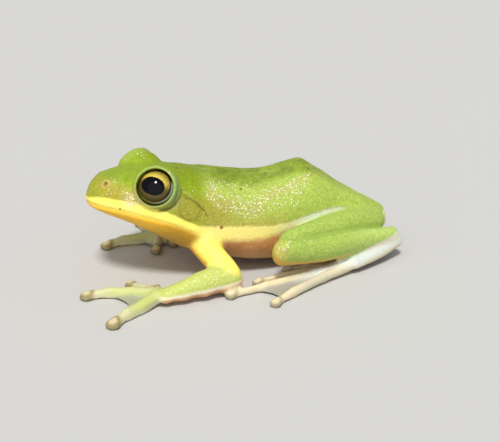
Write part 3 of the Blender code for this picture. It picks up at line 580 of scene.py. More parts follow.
def sculpt_head(head, inside_head):
    """How far the head's skin moves out: lids, lips, nostrils, eardrums, folds; in its own axes."""
    both = folded(head)
    u, _, w = both.T
    push = np.zeros(len(head))

    from_eye, ahead, away = around_eye(both)
    near_eye = smooth_step(ahead, 0.6, 1.8) * (np.linalg.norm(from_eye, axis=1) > EYE_RADIUS + 0.45)
    push += near_eye * (0.2 * hill(away - 4.7, 0.4) - 0.12 * hill(away - 5.6, 0.4))

    over_mouth = w - height_of(MOUTH_LINE, u)
    mouth_fade = smooth_step(-u, -26.5, -24.0)
    push += mouth_fade * (
        -0.16 * hill(over_mouth, 0.24)
        + 0.16 * hill(over_mouth - 0.8, 0.5)
        + 0.1 * hill(over_mouth + 0.7, 0.4)
    )

    to_nostril = distance_from(both, NOSTRIL_PLACE)
    push += -0.6 * hill(to_nostril, 0.36) + 0.14 * hill(to_nostril - 0.8, 0.36)

    across = around_eardrum(both)
    push += 0.1 * hill(across - EARDRUM_RADIUS, 0.4)
    push += -0.1 * smooth_step(-across, -EARDRUM_RADIUS, -1.6) + 0.1 * hill(across, 0.9)

    fold, run = on_cheek(both, FOLD)
    push += 0.34 * hill(fold, 0.7) * smooth_step(run, 0, 1.5)
    push += -0.3 * hill(on_cheek(both, FOLD_LINE)[0], 0.32)
    push += -0.3 * hill(on_cheek(both, CREASE)[0], 0.4)
    canthus, _ = distance_to(both, CANTHUS)
    push += 0.24 * hill(canthus, 0.8)
    under_canthus, _ = distance_to(both + np.array((0, 0, 1.7)), CANTHUS)
    push += -0.2 * hill(under_canthus, 1.0)
    brow, _ = distance_to(both, BROW)
    push += -0.14 * hill(brow, 0.5)
    return push * inside_head


def open_eyelids(head):
    """Draws the edge of the skin round each eye back to its full width; in the head's own axes."""
    for side in (1, -1):
        centre = np.array((EYE_PLACE.x, EYE_PLACE.y * side, EYE_PLACE.z))
        axis = np.array(eye_axis(side))
        offset = head - centre
        ahead = offset @ axis
        outward = offset - ahead[:, None] * axis
        away = np.maximum(np.linalg.norm(outward, axis=1), 1e-6)
        edge = LID_EDGE_RADIUS - 0.2 * smooth_step(offset[:, 0], 0.0, 4.0)
        inside = (ahead > 2.2) & (away < edge) & (np.linalg.norm(offset, axis=1) < 2 * EYE_RADIUS)
        wider = outward * (edge / away - 1)[:, None]
        head = head + np.where(inside[:, None], wider, 0)
    return head


def sculpt_trunk(places, inside_trunk):
    """The back's and the hips' bones under the skin."""
    both = folded(places)
    x, sideways, z = both.T
    hips, _ = distance_to(both, HIP_LINE)
    push = 0.3 * hill(hips, 1.5)
    nape_groove = smooth_step(z, 17, 21) * smooth_step(-x, -15, -11)
    push += -0.22 * hill(sideways, 1.3) * nape_groove
    push += 0.3 * hill(sideways, 1.1) * smooth_step(x, 16, 20) * smooth_step(z, 9, 12)
    push += 0.3 * hill(distance_from(both, HIP_BONE), 1.9)
    return push * inside_trunk


def limb_frame(anatomy, limb, side):
    """For every vertex, how far along a limb it is, and which way round it, as (along, outer, over)."""
    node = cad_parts[f"{limb}_{side}"]
    corners = np.array([TO_FROG @ vert.co for vert in node.data.vertices])
    middle = corners.mean(0)
    _, _, axes = np.linalg.svd(corners - middle, full_matrices=False)
    axis = axes[0]
    towards = f"{LIMB_AIMS[limb]}_{side}"
    low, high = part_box(towards)
    aim = np.array(TO_FROG @ ((low + high) / 2)) - middle
    if axis @ aim < 0:
        axis = -axis
    reach = (corners - middle) @ axis
    outward = np.cross(axis, (0, 0, 1.0))
    away_from_body = -1 if side == "left" else 1
    outward *= np.sign(outward[1] * away_from_body) / np.linalg.norm(outward)
    above = np.cross(outward, axis)
    above *= np.sign(above[2])
    offset = anatomy.places - middle
    along = (offset @ axis - reach.min()) / (reach.max() - reach.min())
    outer = offset @ outward
    over = offset @ above
    size = np.maximum(np.hypot(outer, over), 1e-6)
    return along, outer / size, over / size


def sculpt_limbs(anatomy, places, knee_places):
    """Low scallops along the outer edge of each forearm, and a furrow between thigh and shank."""
    seam = 4 * anatomy.weights["thigh"] * anatomy.weights["shank"]
    push = -0.35 * seam * smooth_step(distance_from_nearest(places, knee_places), 3.0, 5.0)
    for side in ("left", "right"):
        along, outer, over = limb_frame(anatomy, "forearm", side)
        edge = hill(np.arctan2(over, outer) + SCALLOP_ANGLE, 0.3)
        waves = 0.55 + 0.45 * np.cos(along * SCALLOP_WAVE)
        push += 0.4 * edge * waves * anatomy.weights["forearm"] * anatomy_side(places, side)
        along, outer, over = limb_frame(anatomy, "tarsus", side)
        edge = hill(np.arctan2(over, outer) + 0.3, 0.3)
        push += 0.16 * edge * anatomy.weights["tarsus"] * anatomy_side(places, side)
    return push


def anatomy_side(places, side):
    """1 on the named side of the frog and 0 on the other."""
    return (places[:, 1] < 0 if side == "left" else places[:, 1] > 0).astype(float)


def from_digits(places):
    """How far places are, seen from above, outside the nearest digit's edge, from its pad's middle and
    from the middle of the palm or sole."""
    edge = np.full(len(places), np.inf)
    pad = np.full(len(places), np.inf)
    flat = places * np.array((1, 1, 0))
    for path, half_width, _ in DIGITS:
        line = [(x, y, 0) for x, y in path]
        gap, _ = distance_to(flat, line)
        edge = np.minimum(edge, gap - half_width)
        pad = np.minimum(pad, distance_from(flat, line[-1]))
    return edge, pad, distance_from_nearest(places, PALMS)


def sculpt_digits(places, normals, on_digits):
    """Round discs at the digits' ends, knuckles, necks before the discs, and thinner webs."""
    push = np.zeros(len(places))
    flat = places * np.array((1, 1, 0))
    top = smooth_step(normals[:, 2], 0.1, 0.5)
    for path, half_width, pad_width in DIGITS:
        line = [np.array((x, y, 0)) for x, y in path]
        tip = line[-1]
        back = line[-2] - tip
        back = back / np.linalg.norm(back)
        disc = tip - back * 0.1
        to_disc = distance_from(flat, disc)
        push += 0.12 * hill(to_disc, pad_width) * (1 - 0.5 * top)
        push += -0.16 * hill(distance_from(flat, tip + back * (pad_width + 1.5)), 1.1)
        push += 0.12 * top * hill(to_disc - pad_width * 0.75, 0.3)
        for joint in line[1:-1]:
            push += 0.16 * hill(distance_from(flat, joint), half_width)
    edge, _, palm = from_digits(places)
    web = smooth_step(edge, -0.1, 0.4) * smooth_step(palm, PALM_REACH - 0.8, PALM_REACH + 0.4)
    push += -0.16 * web * top
    return push * on_digits


def uneven(places, size, seed):
    """Soft random swellings, about this size across, from -1 to 1."""
    shift = Vector((seed, seed * 1.7, seed * 0.6))
    return np.array([noise.noise(Vector(place) / size + shift) for place in places])


def shape_skin():
    nodes = flesh_nodes()
    skin = melted(nodes)
    surface = Surface(skin.data)
    anatomy = Anatomy(surface, nodes)
    places = anatomy.places

    from_eye = distance_from(folded(moved(places, TO_HEAD)), EYE_PLACE)
    share = anatomy.softening() * (1 - 0.75 * hill(np.maximum(from_eye - 5.0, 0), 1.0))
    places = surface.softened(places, share[:, None], SOFTENING_TURNS)
    surface.put(places)
    places = places - SWELL * surface.normals()
    surface.put(places)

    head = moved(places, TO_HEAD)
    normals = surface.normals()
    neck = 0.6 * (head[:, 0] < 31) * anatomy.weights["trunk"]
    on_head = np.clip(anatomy.weights["head"] + anatomy.weights["jaw"] + neck, 0, 1)
    push = sculpt_head(head, on_head)
    push += sculpt_trunk(places, anatomy.weights["trunk"])
    push += sculpt_limbs(anatomy, places, knees(nodes))
    push += sculpt_digits(places, normals, anatomy.weights["hand"] + anatomy.weights["foot"])
    large = 1 - anatomy.weights["hand"] - anatomy.weights["foot"]
    push += (0.07 * uneven(places, 3.1, 3) + 0.035 * uneven(places, 1.1, 8)) * (0.3 + 0.7 * large)
    places = places + push[:, None] * normals
    places = surface.softened(places, 0.3, 2)
    places = moved(open_eyelids(moved(places, TO_HEAD)), HEAD)
    surface.put(places)

    thin = skin.modifiers.new("thin out", "DECIMATE")
    triangles = sum(len(face.vertices) - 2 for face in skin.data.polygons)
    thin.ratio = min(1.0, SKIN_TRIANGLES / triangles)
    settle(skin)
    return skin, nodes


def knees(nodes):
    """The foremost point of each shank."""
    found = []
    for side in ("left", "right"):
        corners = [TO_FROG @ vert.co for vert in nodes[f"shank_{side}"].data.vertices]
        found.append(np.array(min(corners, key=lambda corner: corner.x)))
    return found


def patch(places, middle, half_size):
    """How far places are from a patch's middle, as a share of its half size."""
    return np.linalg.norm((places - np.array(middle)) / np.array(half_size), axis=1)


def pale_points(anatomy, both, mirrored, limb_over):
    """How crowded the tiny pale points, the skin's flecks and painted glints, are at each vertex, from 0 to
    1.
    """
    places = anatomy.places
    weights = anatomy.weights
    x, _, z = places.T
    points = np.zeros(len(places))
    for place, radius, strength in HEAD_FLECKS_AND_GLINTS:
        cluster = strength * hill(distance_from(both, place), radius)
        points = np.maximum(points, cluster * (weights["head"] + weights["jaw"]))
    in_band = smooth_step(z - height_of(BAND_FOOT, x), -0.3, 0.5)
    in_band = in_band * smooth_step(height_of(BAND_TOP, x) - z, -0.3, 0.5)
    in_band = in_band * smooth_step(x, -12.4, -11.2) * smooth_step(-x, -16.0, -15.0)
    crowded, _ = distance_to(mirrored, CROWDED)
    band = in_band * (0.34 + 0.62 * hill(crowded, 1.7))
    points = np.maximum(points, band * (weights["trunk"] + weights["head"]))
    for name, marks in LIMB_FLECKS_AND_GLINTS.items():
        for place, radius, strength in marks:
            cluster = strength * hill(distance_from(places, place), radius)
            points = np.maximum(points, cluster * weights[region_of(name)])
    # Along the forearm's top the points are painted wet highlights
    return np.maximum(points, 0.4 * weights["forearm"] * smooth_step(limb_over, 0.05, 0.45))


def mark_body(surface, both, mirrored, normals):
    """Stores where the colours of the head and trunk meet, and their patches."""
    x, sideways, z = mirrored.T
    u, _, w = both.T
    back_of_head = smooth_step(u, 23.5, 28.5)
    lip = w - height_of(LIP_LINE, u)
    flank = z - height_of(FLANK_LINE, x)
    snout = smooth_step(-u, -12.5, -9.0) * smooth_step(u, -3.0, 4.0)
    behind_hips = smooth_step(x, 33.0, 34.5) * smooth_step(normals[:, 0], 0.3, 0.7)
    behind_hips = behind_hips * smooth_step(-sideways, -5.6, -3.4)
    surface.keep(
        over_green_edge=lip * (1 - back_of_head) + flank * back_of_head,
        trunk_part=back_of_head,
        over_belly_edge=z - height_of(BELLY_LINE, x),
        groin=smooth_step(x, 1.0, 15.0),
        over_ridge=z - height_of(RIDGE_LINE, x),
        over_mouth=w - height_of(MOUTH_LINE, u),
        mouth_rear=smooth_step(u, 11.0, 22.0),
        up=normals[:, 2],
        snout=snout * smooth_step(-w, -7.4, -5.2),
        cheek=hill(patch(both, *CHEEK_PATCH), 0.9) * smooth_step(-w, -8.5, -6.0),
        shoulder=hill(patch(mirrored, *SHOULDER_PATCH), 0.85),
        rear=behind_hips * smooth_step(-z, -11.4, -10.0),
        smudge=hill(distance_from(mirrored, SMUDGE_PLACE), 2.4),
    )


def mark_face(surface, both):
    """Stores what lies round the eye, the eardrum and the nostril."""
    from_eye, ahead, away = around_eye(both)
    back, _, up = from_eye.T
    behind = smooth_step(back - 0.3 * up, 0.0, 4.0)
    over = smooth_step(up + 0.6 * back, -3.5, 0.5)
    below = smooth_step(-up - 0.3 * back, -0.5, 2.5)
    from_lid_edge = np.maximum(away - LID_EDGE_RADIUS, 0)
    lid = hill(from_lid_edge, 1.0 + 0.7 * behind) * smooth_step(ahead, 0.4, 1.4)
    surface.keep(
        lid=lid * (0.25 + 0.75 * over),
        lid_below=below * hill(from_lid_edge, 0.9),
        lid_behind=behind,
        from_drum=around_eardrum(both),
        under_eye=hill(distance_from(both, UNDER_EYE_PLACE), 1.7),
        to_nostril=distance_from(both, NOSTRIL_PLACE),
        to_crease=on_cheek(both, CREASE)[0],
        to_fold=on_cheek(both, FOLD_LINE)[0],
        to_brow=distance_to(both, BROW)[0],
    )


def mark_limbs(surface, anatomy, nodes):
    """Stores the way along and round each limb, with pads and webs, and returns how far up round it."""
    places = anatomy.places
    weights = anatomy.weights
    x, _, z = places.T
    ways = np.zeros((3, surface.count))
    for side in ("left", "right"):
        here = anatomy_side(places, side)
        for limb in LIMB_AIMS:
            along, outer, over = limb_frame(anatomy, limb, side)
            ways += here * weights[limb] * np.array((np.clip(along, 0, 1), outer, over))
    limb_along, limb_outer, limb_over = ways
    edge, pad, palm = from_digits(places)
    web = smooth_step(edge, -0.15, 0.35) * smooth_step(palm, PALM_REACH - 0.8, PALM_REACH + 0.6)
    to_band, _ = distance_to(folded(places) * np.array((1, 1, 0)), FOOT_BAND)
    surface.keep(
        limb_along=limb_along,
        limb_outer=limb_outer,
        limb_over=limb_over,
        seam=4 * weights["thigh"] * weights["shank"],
        under_heel=height_of(HEEL_LINE, x) - z,
        to_knee=distance_from_nearest(places, knees(nodes)),
        to_pad=pad,
        foot_band=hill(to_band, 1.6) * smooth_step(x, 4.0, 17.0),
        web=web * (weights["foot"] + weights["hand"]),
    )
    return limb_over


def mark_skin(skin, nodes):
    """Stores on the skin what its material needs to know: regions, and distances to the markings' edges."""
    surface = Surface(skin.data)
    anatomy = Anatomy(surface, nodes)
    weights = anatomy.weights
    # Each limb's share of what it and the regions before it cover, because it is laid over them
    covered = weights["head"] + weights["jaw"] + weights["trunk"]
    for name in LIMBS:
        covered = covered + weights[name]
        surface.keep(**{"on_" + name: weights[name] / np.maximum(covered, 1e-4)})

    places = anatomy.places
    both = folded(moved(places, TO_HEAD))
    mirrored = folded(places)
    normals = surface.softened(surface.normals(), 0.5, 4)
    mark_body(surface, both, mirrored, normals)
    mark_face(surface, both)
    limb_over = mark_limbs(surface, anatomy, nodes)
    surface.keep(pale_points=pale_points(anatomy, both, mirrored, limb_over))

    low, high = (np.array(corner) for corner in CAD_BOX)
    surface.put(np.clip(moved(places, TO_MODEL), low, high))


class Value:
    """A number that varies over a surface. Python's operators add Math nodes to it."""

    def __init__(self, finish, socket):
        self.finish = finish
        self.socket = socket

    def math(self, operation, *terms):
        return self.finish.node("Math", dict(enumerate(terms)), operation=operation)

    def __add__(self, other):
        return self.math("ADD", self, other)

    __radd__ = __add__

    def __mul__(self, other):
        return self.math("MULTIPLY", self, other)

    __rmul__ = __mul__

    def __sub__(self, other):
        return self.math("SUBTRACT", self, other)

    def __rsub__(self, other):
        return self.math("SUBTRACT", other, self)

    def __truediv__(self, other):
        return self.math("DIVIDE", self, other)

    def __abs__(self):
        return self.math("ABSOLUTE", self)

    def __pow__(self, other):
        return self.math("POWER", self, other)


class Finish:
    """A material under construction, with the node kinds that these finishes use."""

    def __init__(self, name):
        self.material = bpy.data.materials.new(name)
        self.material.use_nodes = True
        self.tree = self.material.node_tree
        self.shader = self.tree.nodes["Principled BSDF"]

    def node(self, kind, inputs, output=0, **settings):
        made = self.tree.nodes.new("ShaderNode" + kind)
        for name, value in settings.items():
            setattr(made, name, value)
        for name, value in inputs.items():
            self.fill(made.inputs[name], value)
        return Value(self, made.outputs[output])

    def fill(self, socket, value):
        if isinstance(value, Value):
            self.tree.links.new(value.socket, socket)
        else:
            socket.default_value = value

    def set(self, **inputs):
        for name, value in inputs.items():
            self.fill(self.shader.inputs[name.replace("_", " ")], value)

    def attribute(self, name):
        return self.node("Attribute", {}, 2, attribute_name=name)

    def step(self, value, low, high):
        """0 at low, 1 at high and a soft way between; high may be the lower number."""
        inputs = {0: value, 1: low, 2: high, 3: 0.0, 4: 1.0}
        return self.node("MapRange", inputs, interpolation_type="SMOOTHSTEP")

    def ridge(self, value, middle, width):
        """1 at the middle and 0 from this width away."""
        return self.step(abs(value - middle), width, 0.0)

    def mix(self, share, first, second, kind="MIX"):
        return self.node("Mix", {0: share, 6: first, 7: second}, 2, data_type="RGBA", blend_type=kind)

    def noise(self, places, scale, detail, roughness):
        inputs = {"Vector": places, "Scale": scale, "Detail": detail, "Roughness": roughness}
        return self.node("TexNoise", inputs)

    def grained(self, paint, grain):
        """Paint made lighter and darker by a number that varies around 0."""
        level = 1 + grain
        grey = self.node("CombineColor", {0: level, 1: level, 2: level})
        return self.mix(1.0, paint, grey, "MULTIPLY")

    def cells(self, places, scale, feature="F1", output=0):
        inputs = {"Vector": places, "Scale": scale, "Randomness": 1.0}
        return self.node("TexVoronoi", inputs, output, feature=feature)

    def millimetres(self):
        """The model's own coordinates, in millimetres."""
        at = self.node("TexCoord", {}, 3)
        return self.node("VectorMath", {0: at, 3: 1000.0}, operation="SCALE")

    def distance(self, places, target):
        return self.node("VectorMath", {0: places, 1: target}, 1, operation="DISTANCE")

    def bump(self, height, strength, distance):
        return self.node("Bump", {"Strength": strength, "Distance": distance, "Height": height})


def length(across, up):
    return (across * across + up * up) ** 0.5


def skin_finish():
    f = Finish("frog skin")
    at = f.millimetres()
    wide = f.noise(at, 0.3, 3.0, 0.6)
    middle = f.noise(at, 1.2, 3.0, 0.6)
    fine = f.noise(at, 2.6, 2.0, 0.6)
    waver = middle - 0.5
    tremor = fine - 0.5
    up = f.attribute("up")
    over_edge = f.attribute("over_green_edge") + waver * 0.7 + tremor * 0.35
    trunk = f.attribute("trunk_part")
    over_mouth = f.attribute("over_mouth")

    # The green of the back, flanks and crown
    ridge = f.attribute("over_ridge") + waver * 2.4 + (wide - 0.5) * 1.6
    back = f.step(ridge, -1.6, 1.0)
    dark = f.mix(f.step(wide * 0.6 + middle * 0.4, 0.42, 0.6), BACK_GREEN, BACK_DARK)
    crown = f.mix(f.step(wide, 0.5, 0.72) * 0.4, CROWN_GREEN, BACK_DARK)
    crown = f.mix(f.attribute("mouth_rear") * 0.9, crown, BACK_GREEN)
    crown = f.mix(f.step(up + waver * 0.4, 0.35, 0.95), CHEEK_GREEN, crown)
    low_flank = f.step(over_edge, 5.0, 0.4) * (1 - f.attribute("groin"))
    flank = f.mix(low_flank * 0.7, LIME_GREEN, FLANK_OLIVE)
    green = f.mix(trunk, crown, f.mix(back, flank, dark))
    fleck = f.step(f.cells(at, 1.3), 0.36, 0.14) * f.step(fine, 0.42, 0.6) * back
    green = f.mix(fleck * trunk * 0.5, green, FLECK_BROWN)
    green = f.mix(f.attribute("snout") * (0.6 + f.step(wide, 0.35, 0.6) * 0.35), green, SNOUT_OLIVE)
    green = f.mix(f.attribute("cheek") * 0.9, green, CHEEK_OLIVE)
    green = f.mix(f.attribute("shoulder") * 0.75, green, CHEEK_OLIVE)
    grain = tremor * 1.1 + waver * 0.55
    green = f.grained(green, grain)

    # Below it: yellow lip and throat on the head, cream stripe and brown belly on the trunk; the jaw is
    # painted darker towards its rear and the throat darker below it, as painted shade
    jaw = f.mix(f.attribute("mouth_rear"), JAW_ORANGE, JAW_REAR_SHADE)
    lip = f.mix(f.step(over_mouth, 0.5, -0.5), LIP_YELLOW, jaw)
    lip = f.mix(f.step(over_mouth, -2.6, -5.0), lip, THROAT_SHADED_YELLOW)
    over_belly = f.attribute("over_belly_edge") + waver * 1.4
    belly = f.mix(f.step(wide * 0.7 + middle * 0.3, 0.3, 0.75) * 0.6, BELLY_BROWN, BELLY_CREAM)
    belly = f.mix(f.step(up, -0.25, -0.8) * 0.5, belly, BELLY_CREAM)
    stripe = f.mix(f.attribute("groin"), STRIPE_CREAM, GROIN_WHITE)
    belly = f.mix(f.attribute("smudge") * f.step(middle, 0.3, 0.7) * 0.7, belly, SMUDGE)
    under = f.mix(f.step(over_belly, -1.2, 0.9), belly, stripe)
    below = f.mix(trunk, lip, under)
    body = f.mix(f.step(over_edge, -0.35, 0.3), below, green)
    brown_line = f.ridge(over_edge, -0.1, 0.5) * trunk * f.step(fine, 0.3, 0.6)
    body = f.mix(brown_line * 0.5, body, EDGE_BROWN)

    # The limbs, each over the one before
    limb_over = f.attribute("limb_over") + waver * 0.3
    limb_outer = f.attribute("limb_outer")
    limb_along = f.attribute("limb_along")
    # The upper arm's top is painted with the paler lip yellow: a painted highlight where the light falls
    arm = f.mix(f.step(limb_over, -0.4, 0.4), ARM_YELLOW, LIP_YELLOW)
    forearm = f.mix(f.step(limb_over, -0.42, -0.14), FOREARM_PINK, FOREARM_WHITE)
    arm_green = f.grained(FOREARM_GREEN, grain * 0.6)
    forearm = f.mix(f.step(limb_over, -0.12, 0.22), forearm, arm_green)
    leg_green = f.grained(THIGH_GREEN, grain)
    seam = f.attribute("seam")
    inner = f.step(limb_outer, -0.2, -0.6) * f.step(limb_over, 0.3, -0.1) * f.step(up, 0.1, -0.2)
    leg = f.mix(inner * (1 - seam), leg_green, INNER_LEG)
    to_knee = f.attribute("to_knee")
    # The furrow between thigh and shank is painted darker green, partly the skin's own darker green and
    # partly painted shade
    leg = f.mix(seam * f.step(to_knee, 4.0, 7.0) * 0.5, leg, SEAM_SHADE_GREEN)
    leg = f.mix(f.step(to_knee, 5.6, 1.6) * 0.85, leg, KNEE_YELLOW)
    rim = f.step(limb_over, -0.5, -0.85) * f.step(limb_outer, -0.6, 0.0)
    heel = f.grained(HEEL_GREEN, grain)
    shank = f.mix(f.step(limb_along, 0.4, 0.8) * 0.6, leg, heel)
    shank = f.mix(rim * (1 - seam), shank, RIM_ORANGE)
    under_heel = f.attribute("under_heel") + waver * 1.2
    shank = f.mix(f.step(under_heel, -0.4, 0.5), shank, RIM_WHITE)
    tarsus = f.mix(f.step(limb_over, -0.35, 0.3), FOOT_CREAM, FOOT_WHITE)
    # The tarsus's underside is painted brown as painted shade
    tarsus = f.mix(f.step(limb_over, -0.45, -0.8) * 0.8, tarsus, TARSUS_UNDER_SHADE)
    to_pad = f.attribute("to_pad")
    pad = f.step(to_pad, 2.5, 1.3)
    web = f.attribute("web")
    hand = f.mix(f.step(to_pad, 3.0, 9.0), FINGER_CREAM, HAND_GREEN)
    hand = f.mix(f.step(up, 0.25, -0.3) * 0.7, hand, FOREARM_WHITE)
    hand = f.mix(web * 0.75, hand, WEB_GREY)
    disc = f.mix(f.step(to_pad, 0.5, 1.5), PAD_CREAM, PAD_OCHRE)
    hand = f.mix(pad * 0.85, hand, disc)
    # The pale band's top is painted lighter still: painted light where the shank shades the foot
    band = f.attribute("foot_band") * f.step(up, 0.0, 0.4)
    foot = f.mix(f.step(to_pad, 14.0, 5.0), FOOT_CREAM, TOE_CREAM)
    foot = f.mix(web * 0.85, foot, WEB_GREY)
    foot = f.mix(band * 0.9, foot, LIT_BAND_WHITE)
    foot = f.mix(pad * 0.5, foot, disc)

    rear = f.step(f.attribute("rear") + waver * 0.5, 0.25, 0.8)
    colour = f.mix(rear * 0.9, body, RUMP_CREAM)
    for name, paint in zip(LIMBS, (arm, forearm, hand, leg, shank, tarsus, foot)):
        share = f.attribute("on_" + name)
        colour = f.mix(share * (1 - rear) if name == "thigh" else share, colour, paint)

    # Rims, creases, spots and the mouth's shadow line
    on_head = 1 - trunk
    colour = f.mix(f.attribute("under_eye") * f.step(middle, 0.3, 0.6) * 0.85, colour, UNDER_EYE)
    lid_colour = f.mix(f.attribute("lid_behind"), LID_GREEN, LID_TURQUOISE)
    colour = f.mix(f.attribute("lid") * (0.55 + f.attribute("lid_behind") * 0.25), colour, lid_colour)
    colour = f.mix(f.attribute("lid_below") * 0.7, colour, LID_SHADE)
    # Painted shade in the furrows under and behind the eye, along the fold and the brow, and round the
    # eardrum's rim
    colour = f.mix(f.ridge(f.attribute("to_crease"), 0.0, 0.6) * on_head * 0.8, colour, CREASE_SHADE_BROWN)
    colour = f.mix(f.ridge(f.attribute("to_fold"), 0.0, 0.4) * 0.7, colour, CREASE_SHADE_BROWN)
    colour = f.mix(f.ridge(f.attribute("to_brow"), 0.0, 0.5) * 0.4, colour, CREASE_SHADE_BROWN)
    drum = f.attribute("from_drum")
    colour = f.mix(f.ridge(drum, EARDRUM_RADIUS, 0.5) * 0.3, colour, CREASE_SHADE_BROWN)
    colour = f.mix(f.step(drum, 1.5, 0.2) * 0.3, colour, LIME_GREEN)
    nostril = f.attribute("to_nostril")
    colour = f.mix(f.ridge(nostril, 0.95, 0.5) * 0.55, colour, BELLY_CREAM)
    # The nostril's pit is painted dark as painted shade; the same brown paints the frog's own spots below
    colour = f.mix(f.step(nostril, 0.7, 0.3), colour, SPOT_BROWN_AND_NOSTRIL_SHADE)
    # A thin painted shadow line along the mouth, darker towards its rear
    mouth = f.ridge(over_mouth, -0.05, 0.2) * on_head * (1 - f.attribute("on_upper_arm"))
    colour = f.mix(mouth * (0.05 + f.attribute("mouth_rear") * 0.15), colour, MOUTH_SHADOW_BROWN)
    for place, radius in SPOTS:
        gap = f.distance(at, (Vector(place) + SHIFT)) + tremor * 0.25
        colour = f.mix(f.step(gap, radius * 1.25, radius * 0.6) * 0.8, colour, SPOT_BROWN_AND_NOSTRIL_SHADE)

    # The tiny pale points, partly flecks and partly painted glints, on a slightly browner ground where they
    # crowd
    spread = f.attribute("pale_points")
    colour = f.mix(spread * spread * 0.4 * (1 - f.attribute("on_forearm")), colour, POINT_GROUND)
    near_point = f.cells(at, 2.2)
    chance = f.cells(at, 2.2, output=1)
    first = f.node("SeparateColor", {0: chance})
    second = f.node("SeparateColor", {0: chance}, 1)
    shown = f.step(first - (1 - spread), -0.03, 0.03)
    size = 0.24 + second * 0.16
    spot = f.step(near_point - size, 0.07, -0.07) * shown
    colour = f.mix(spot * (0.95 - f.attribute("on_forearm") * 0.35), colour, FLECK_AND_GLINT_WHITE)

    grains = f.cells(at, 2.1, "SMOOTH_F1")
    height = (0.6 - grains) * 0.7 + fine * 0.6 + spot * 0.7
    wet = 0.5 - spot * 0.2 + waver * 0.2
    f.set(Base_Color=colour, Roughness=wet, Normal=f.bump(height, 0.55, 0.00024))
    f.set(Subsurface_Weight=0.08, Subsurface_Radius=(1.0, 0.7, 0.25), Subsurface_Scale=0.0006)
    f.set(Coat_Weight=0.04, Coat_Roughness=0.3, Specular_IOR_Level=0.24)
    return f.material


def eye_frame(side):
    """An eye's own axes: z out along its look, y up, x across; in the frog's frame."""
    turn = HEAD.to_3x3()
    out = (turn @ eye_axis(side)).normalized()
    up = turn @ Vector((0, 0, 1))
    up = (up - out * up.dot(out)).normalized()
    across = up.cross(out)
    matrix = Matrix((across, up, out)).transposed().to_4x4()
    place = HEAD @ Vector((EYE_PLACE.x, EYE_PLACE.y * side, EYE_PLACE.z))
    return Matrix.Translation(place) @ matrix


def eye_finish(name, side):
    """Gold iris around a rounded pupil that looks a little ahead, under a clear wet cornea."""
    f = Finish(name)
    place = TO_MODEL @ eye_frame(side)
    location, rotation, _ = place.decompose()
    at = f.node("TexCoord", {}, 3)
    inputs = {"Vector": at, "Location": location, "Rotation": rotation.to_euler(), "Scale": (0.001,) * 3}
    own = f.node("Mapping", inputs, vector_type="TEXTURE")
    x = f.node("SeparateXYZ", {0: own})
    y = f.node("SeparateXYZ", {0: own}, 1)
    # x points to the rear on the left eye and to the snout on the right one
    forward = x * -side
    fine = f.noise(own, 2.2, 4.0, 0.65)
    from_middle = forward - PUPIL_PLACE[0]
    above = y - PUPIL_PLACE[1]
    long_way = from_middle * math.cos(PUPIL_TILT) + above * math.sin(PUPIL_TILT)
    high_way = above * math.cos(PUPIL_TILT) - from_middle * math.sin(PUPIL_TILT)
    wave = (fine - 0.5) * 0.3
    shape = abs(long_way / PUPIL_HALF_SIZE[0]) ** 2.2 + abs(high_way / PUPIL_HALF_SIZE[1]) ** 2.2 + wave
    away = length(forward - IRIS_PLACE[0], y - IRIS_PLACE[1])
    top = f.step(y - forward * 0.12 + (fine - 0.5) * 1.5, 0.0, 1.7)
    bright = f.mix(f.step(shape + (fine - 0.5) * 1.6, 1.2, 4.6), IRIS_GOLD, IRIS_GOLD_EDGE)
    dull = f.mix(f.step(shape, 1.2, 2.6), IRIS_BRONZE, IRIS_BRONZE_EDGE)
    gold = f.mix(top, dull, bright)
    gold = f.mix(f.step(fine, 0.56, 0.36) * f.step(shape, 1.2, 2.4) * 0.4, gold, IRIS_SPECKS)
    cracks = f.cells(own, 2.1, "DISTANCE_TO_EDGE")
    threads = f.step(cracks, 0.12, 0.02) * f.step(away, 2.2, 3.6)
    gold = f.mix(threads * 0.6, gold, IRIS_THREADS)
    # Outside the iris lie its dark rim, the pale edge of the lower lid and the olive skin under the cornea
    around = length(forward, y - EYE_RING_HEIGHT)
    shaded = f.mix(f.step(forward, -0.5, 2.6), EYE_CORNER_DARK, EYE_CORNER_OLIVE)
    outside = f.mix(f.step(around, 3.6, 4.2), IRIS_RIM, shaded)
    low = (y * -0.8 - forward * 0.6) / around
    ring = f.ridge(around, EYE_RING_RADIUS, 0.3) * f.step(low, -0.05, 0.35)
    rim = f.mix(f.step(forward, 1.2, -3.0), LID_EDGE_TAN, LID_EDGE_PALE)
    outside = f.mix(ring * 0.9, outside, rim)
    colour = f.mix(f.step(away, IRIS_RADIUS - 0.15, IRIS_RADIUS + 0.1), gold, outside)
    colour = f.mix(f.step(shape, 1.06, 0.94), colour, PUPIL_BLACK)
    f.set(Base_Color=colour, Roughness=0.5, Specular_IOR_Level=0.0)
    f.set(Coat_Weight=1.0, Coat_Roughness=0.03, Coat_IOR=1.3)
    return f.material


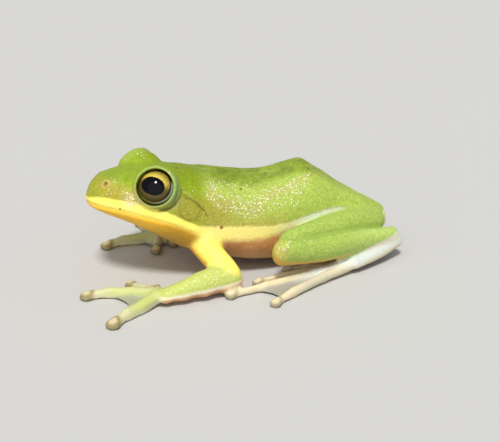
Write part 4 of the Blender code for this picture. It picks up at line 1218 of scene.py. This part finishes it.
def make_eye(name, side):
    bm = bmesh.new()
    bmesh.ops.create_uvsphere(bm, u_segments=64, v_segments=40, radius=EYE_RADIUS)
    bmesh.ops.transform(bm, matrix=TO_MODEL @ eye_frame(side), verts=bm.verts)
    bmesh.ops.recalc_face_normals(bm, faces=bm.faces)
    eye = built(name, bm)
    eye.data.shade_smooth()
    eye.data.materials.append(eye_finish(name.replace("_", " "), side))
    return eye


def make_floor():
    bm = bmesh.new()
    bmesh.ops.create_grid(bm, x_segments=1, y_segments=1, size=20)
    floor = built("floor", bm)
    f = Finish("pale floor")
    f.set(Base_Color=FLOOR_GREY, Roughness=0.9)
    floor.data.materials.append(f.material)


def make_sun(name, towards, strength, spread):
    """A soft light from far away."""
    lamp = bpy.data.lights.new(name, "SUN")
    lamp.energy = strength
    lamp.angle = math.radians(spread)
    lamp.color = (1.0, 0.98, 0.94)
    linked(name, lamp).rotation_euler = Vector(towards).to_track_quat("Z", "Y").to_euler()


def make_camera():
    """Looks down at the left side of the frog from a little in front, as the photograph does."""
    level = math.cos(CAMERA_ELEVATION)
    back = Vector(
        (math.sin(CAMERA_AZIMUTH) * level, -math.cos(CAMERA_AZIMUTH) * level, math.sin(CAMERA_ELEVATION))
    )
    camera = bpy.data.cameras.new("camera")
    camera.lens = CAMERA_LENS
    camera.sensor_width = 36
    camera.clip_start = 0.01
    obj = linked("camera", camera)
    obj.location = TO_MODEL @ CAMERA_TARGET + back * CAMERA_METRES_AWAY
    obj.rotation_euler = back.to_track_quat("Z", "Y").to_euler()
    bpy.context.scene.camera = obj


def light_room():
    world = bpy.data.worlds.new("room")
    world.use_nodes = True
    sky = world.node_tree.nodes["Background"]
    sky.inputs["Color"].default_value = (0.95, 0.96, 1.0, 1)
    sky.inputs["Strength"].default_value = 0.4
    bpy.context.scene.world = world
    for name, (towards, strength, spread) in SUNS.items():
        make_sun(name, towards, strength, spread)
    bpy.context.scene.view_settings.view_transform = "Standard"


skin, flesh = shape_skin()
mark_skin(skin, flesh)
skin.data.shade_smooth()
skin.data.materials.clear()
skin.data.materials.append(skin_finish())
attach(skin, "root")
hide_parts(*flesh)

for side_name, side_number in (("left", 1), ("right", -1)):
    eyeball = make_eye(f"{side_name}_eye", side_number)
    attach(eyeball, "root")
    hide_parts(f"eye_{side_name}")

make_floor()
light_room()
make_camera()
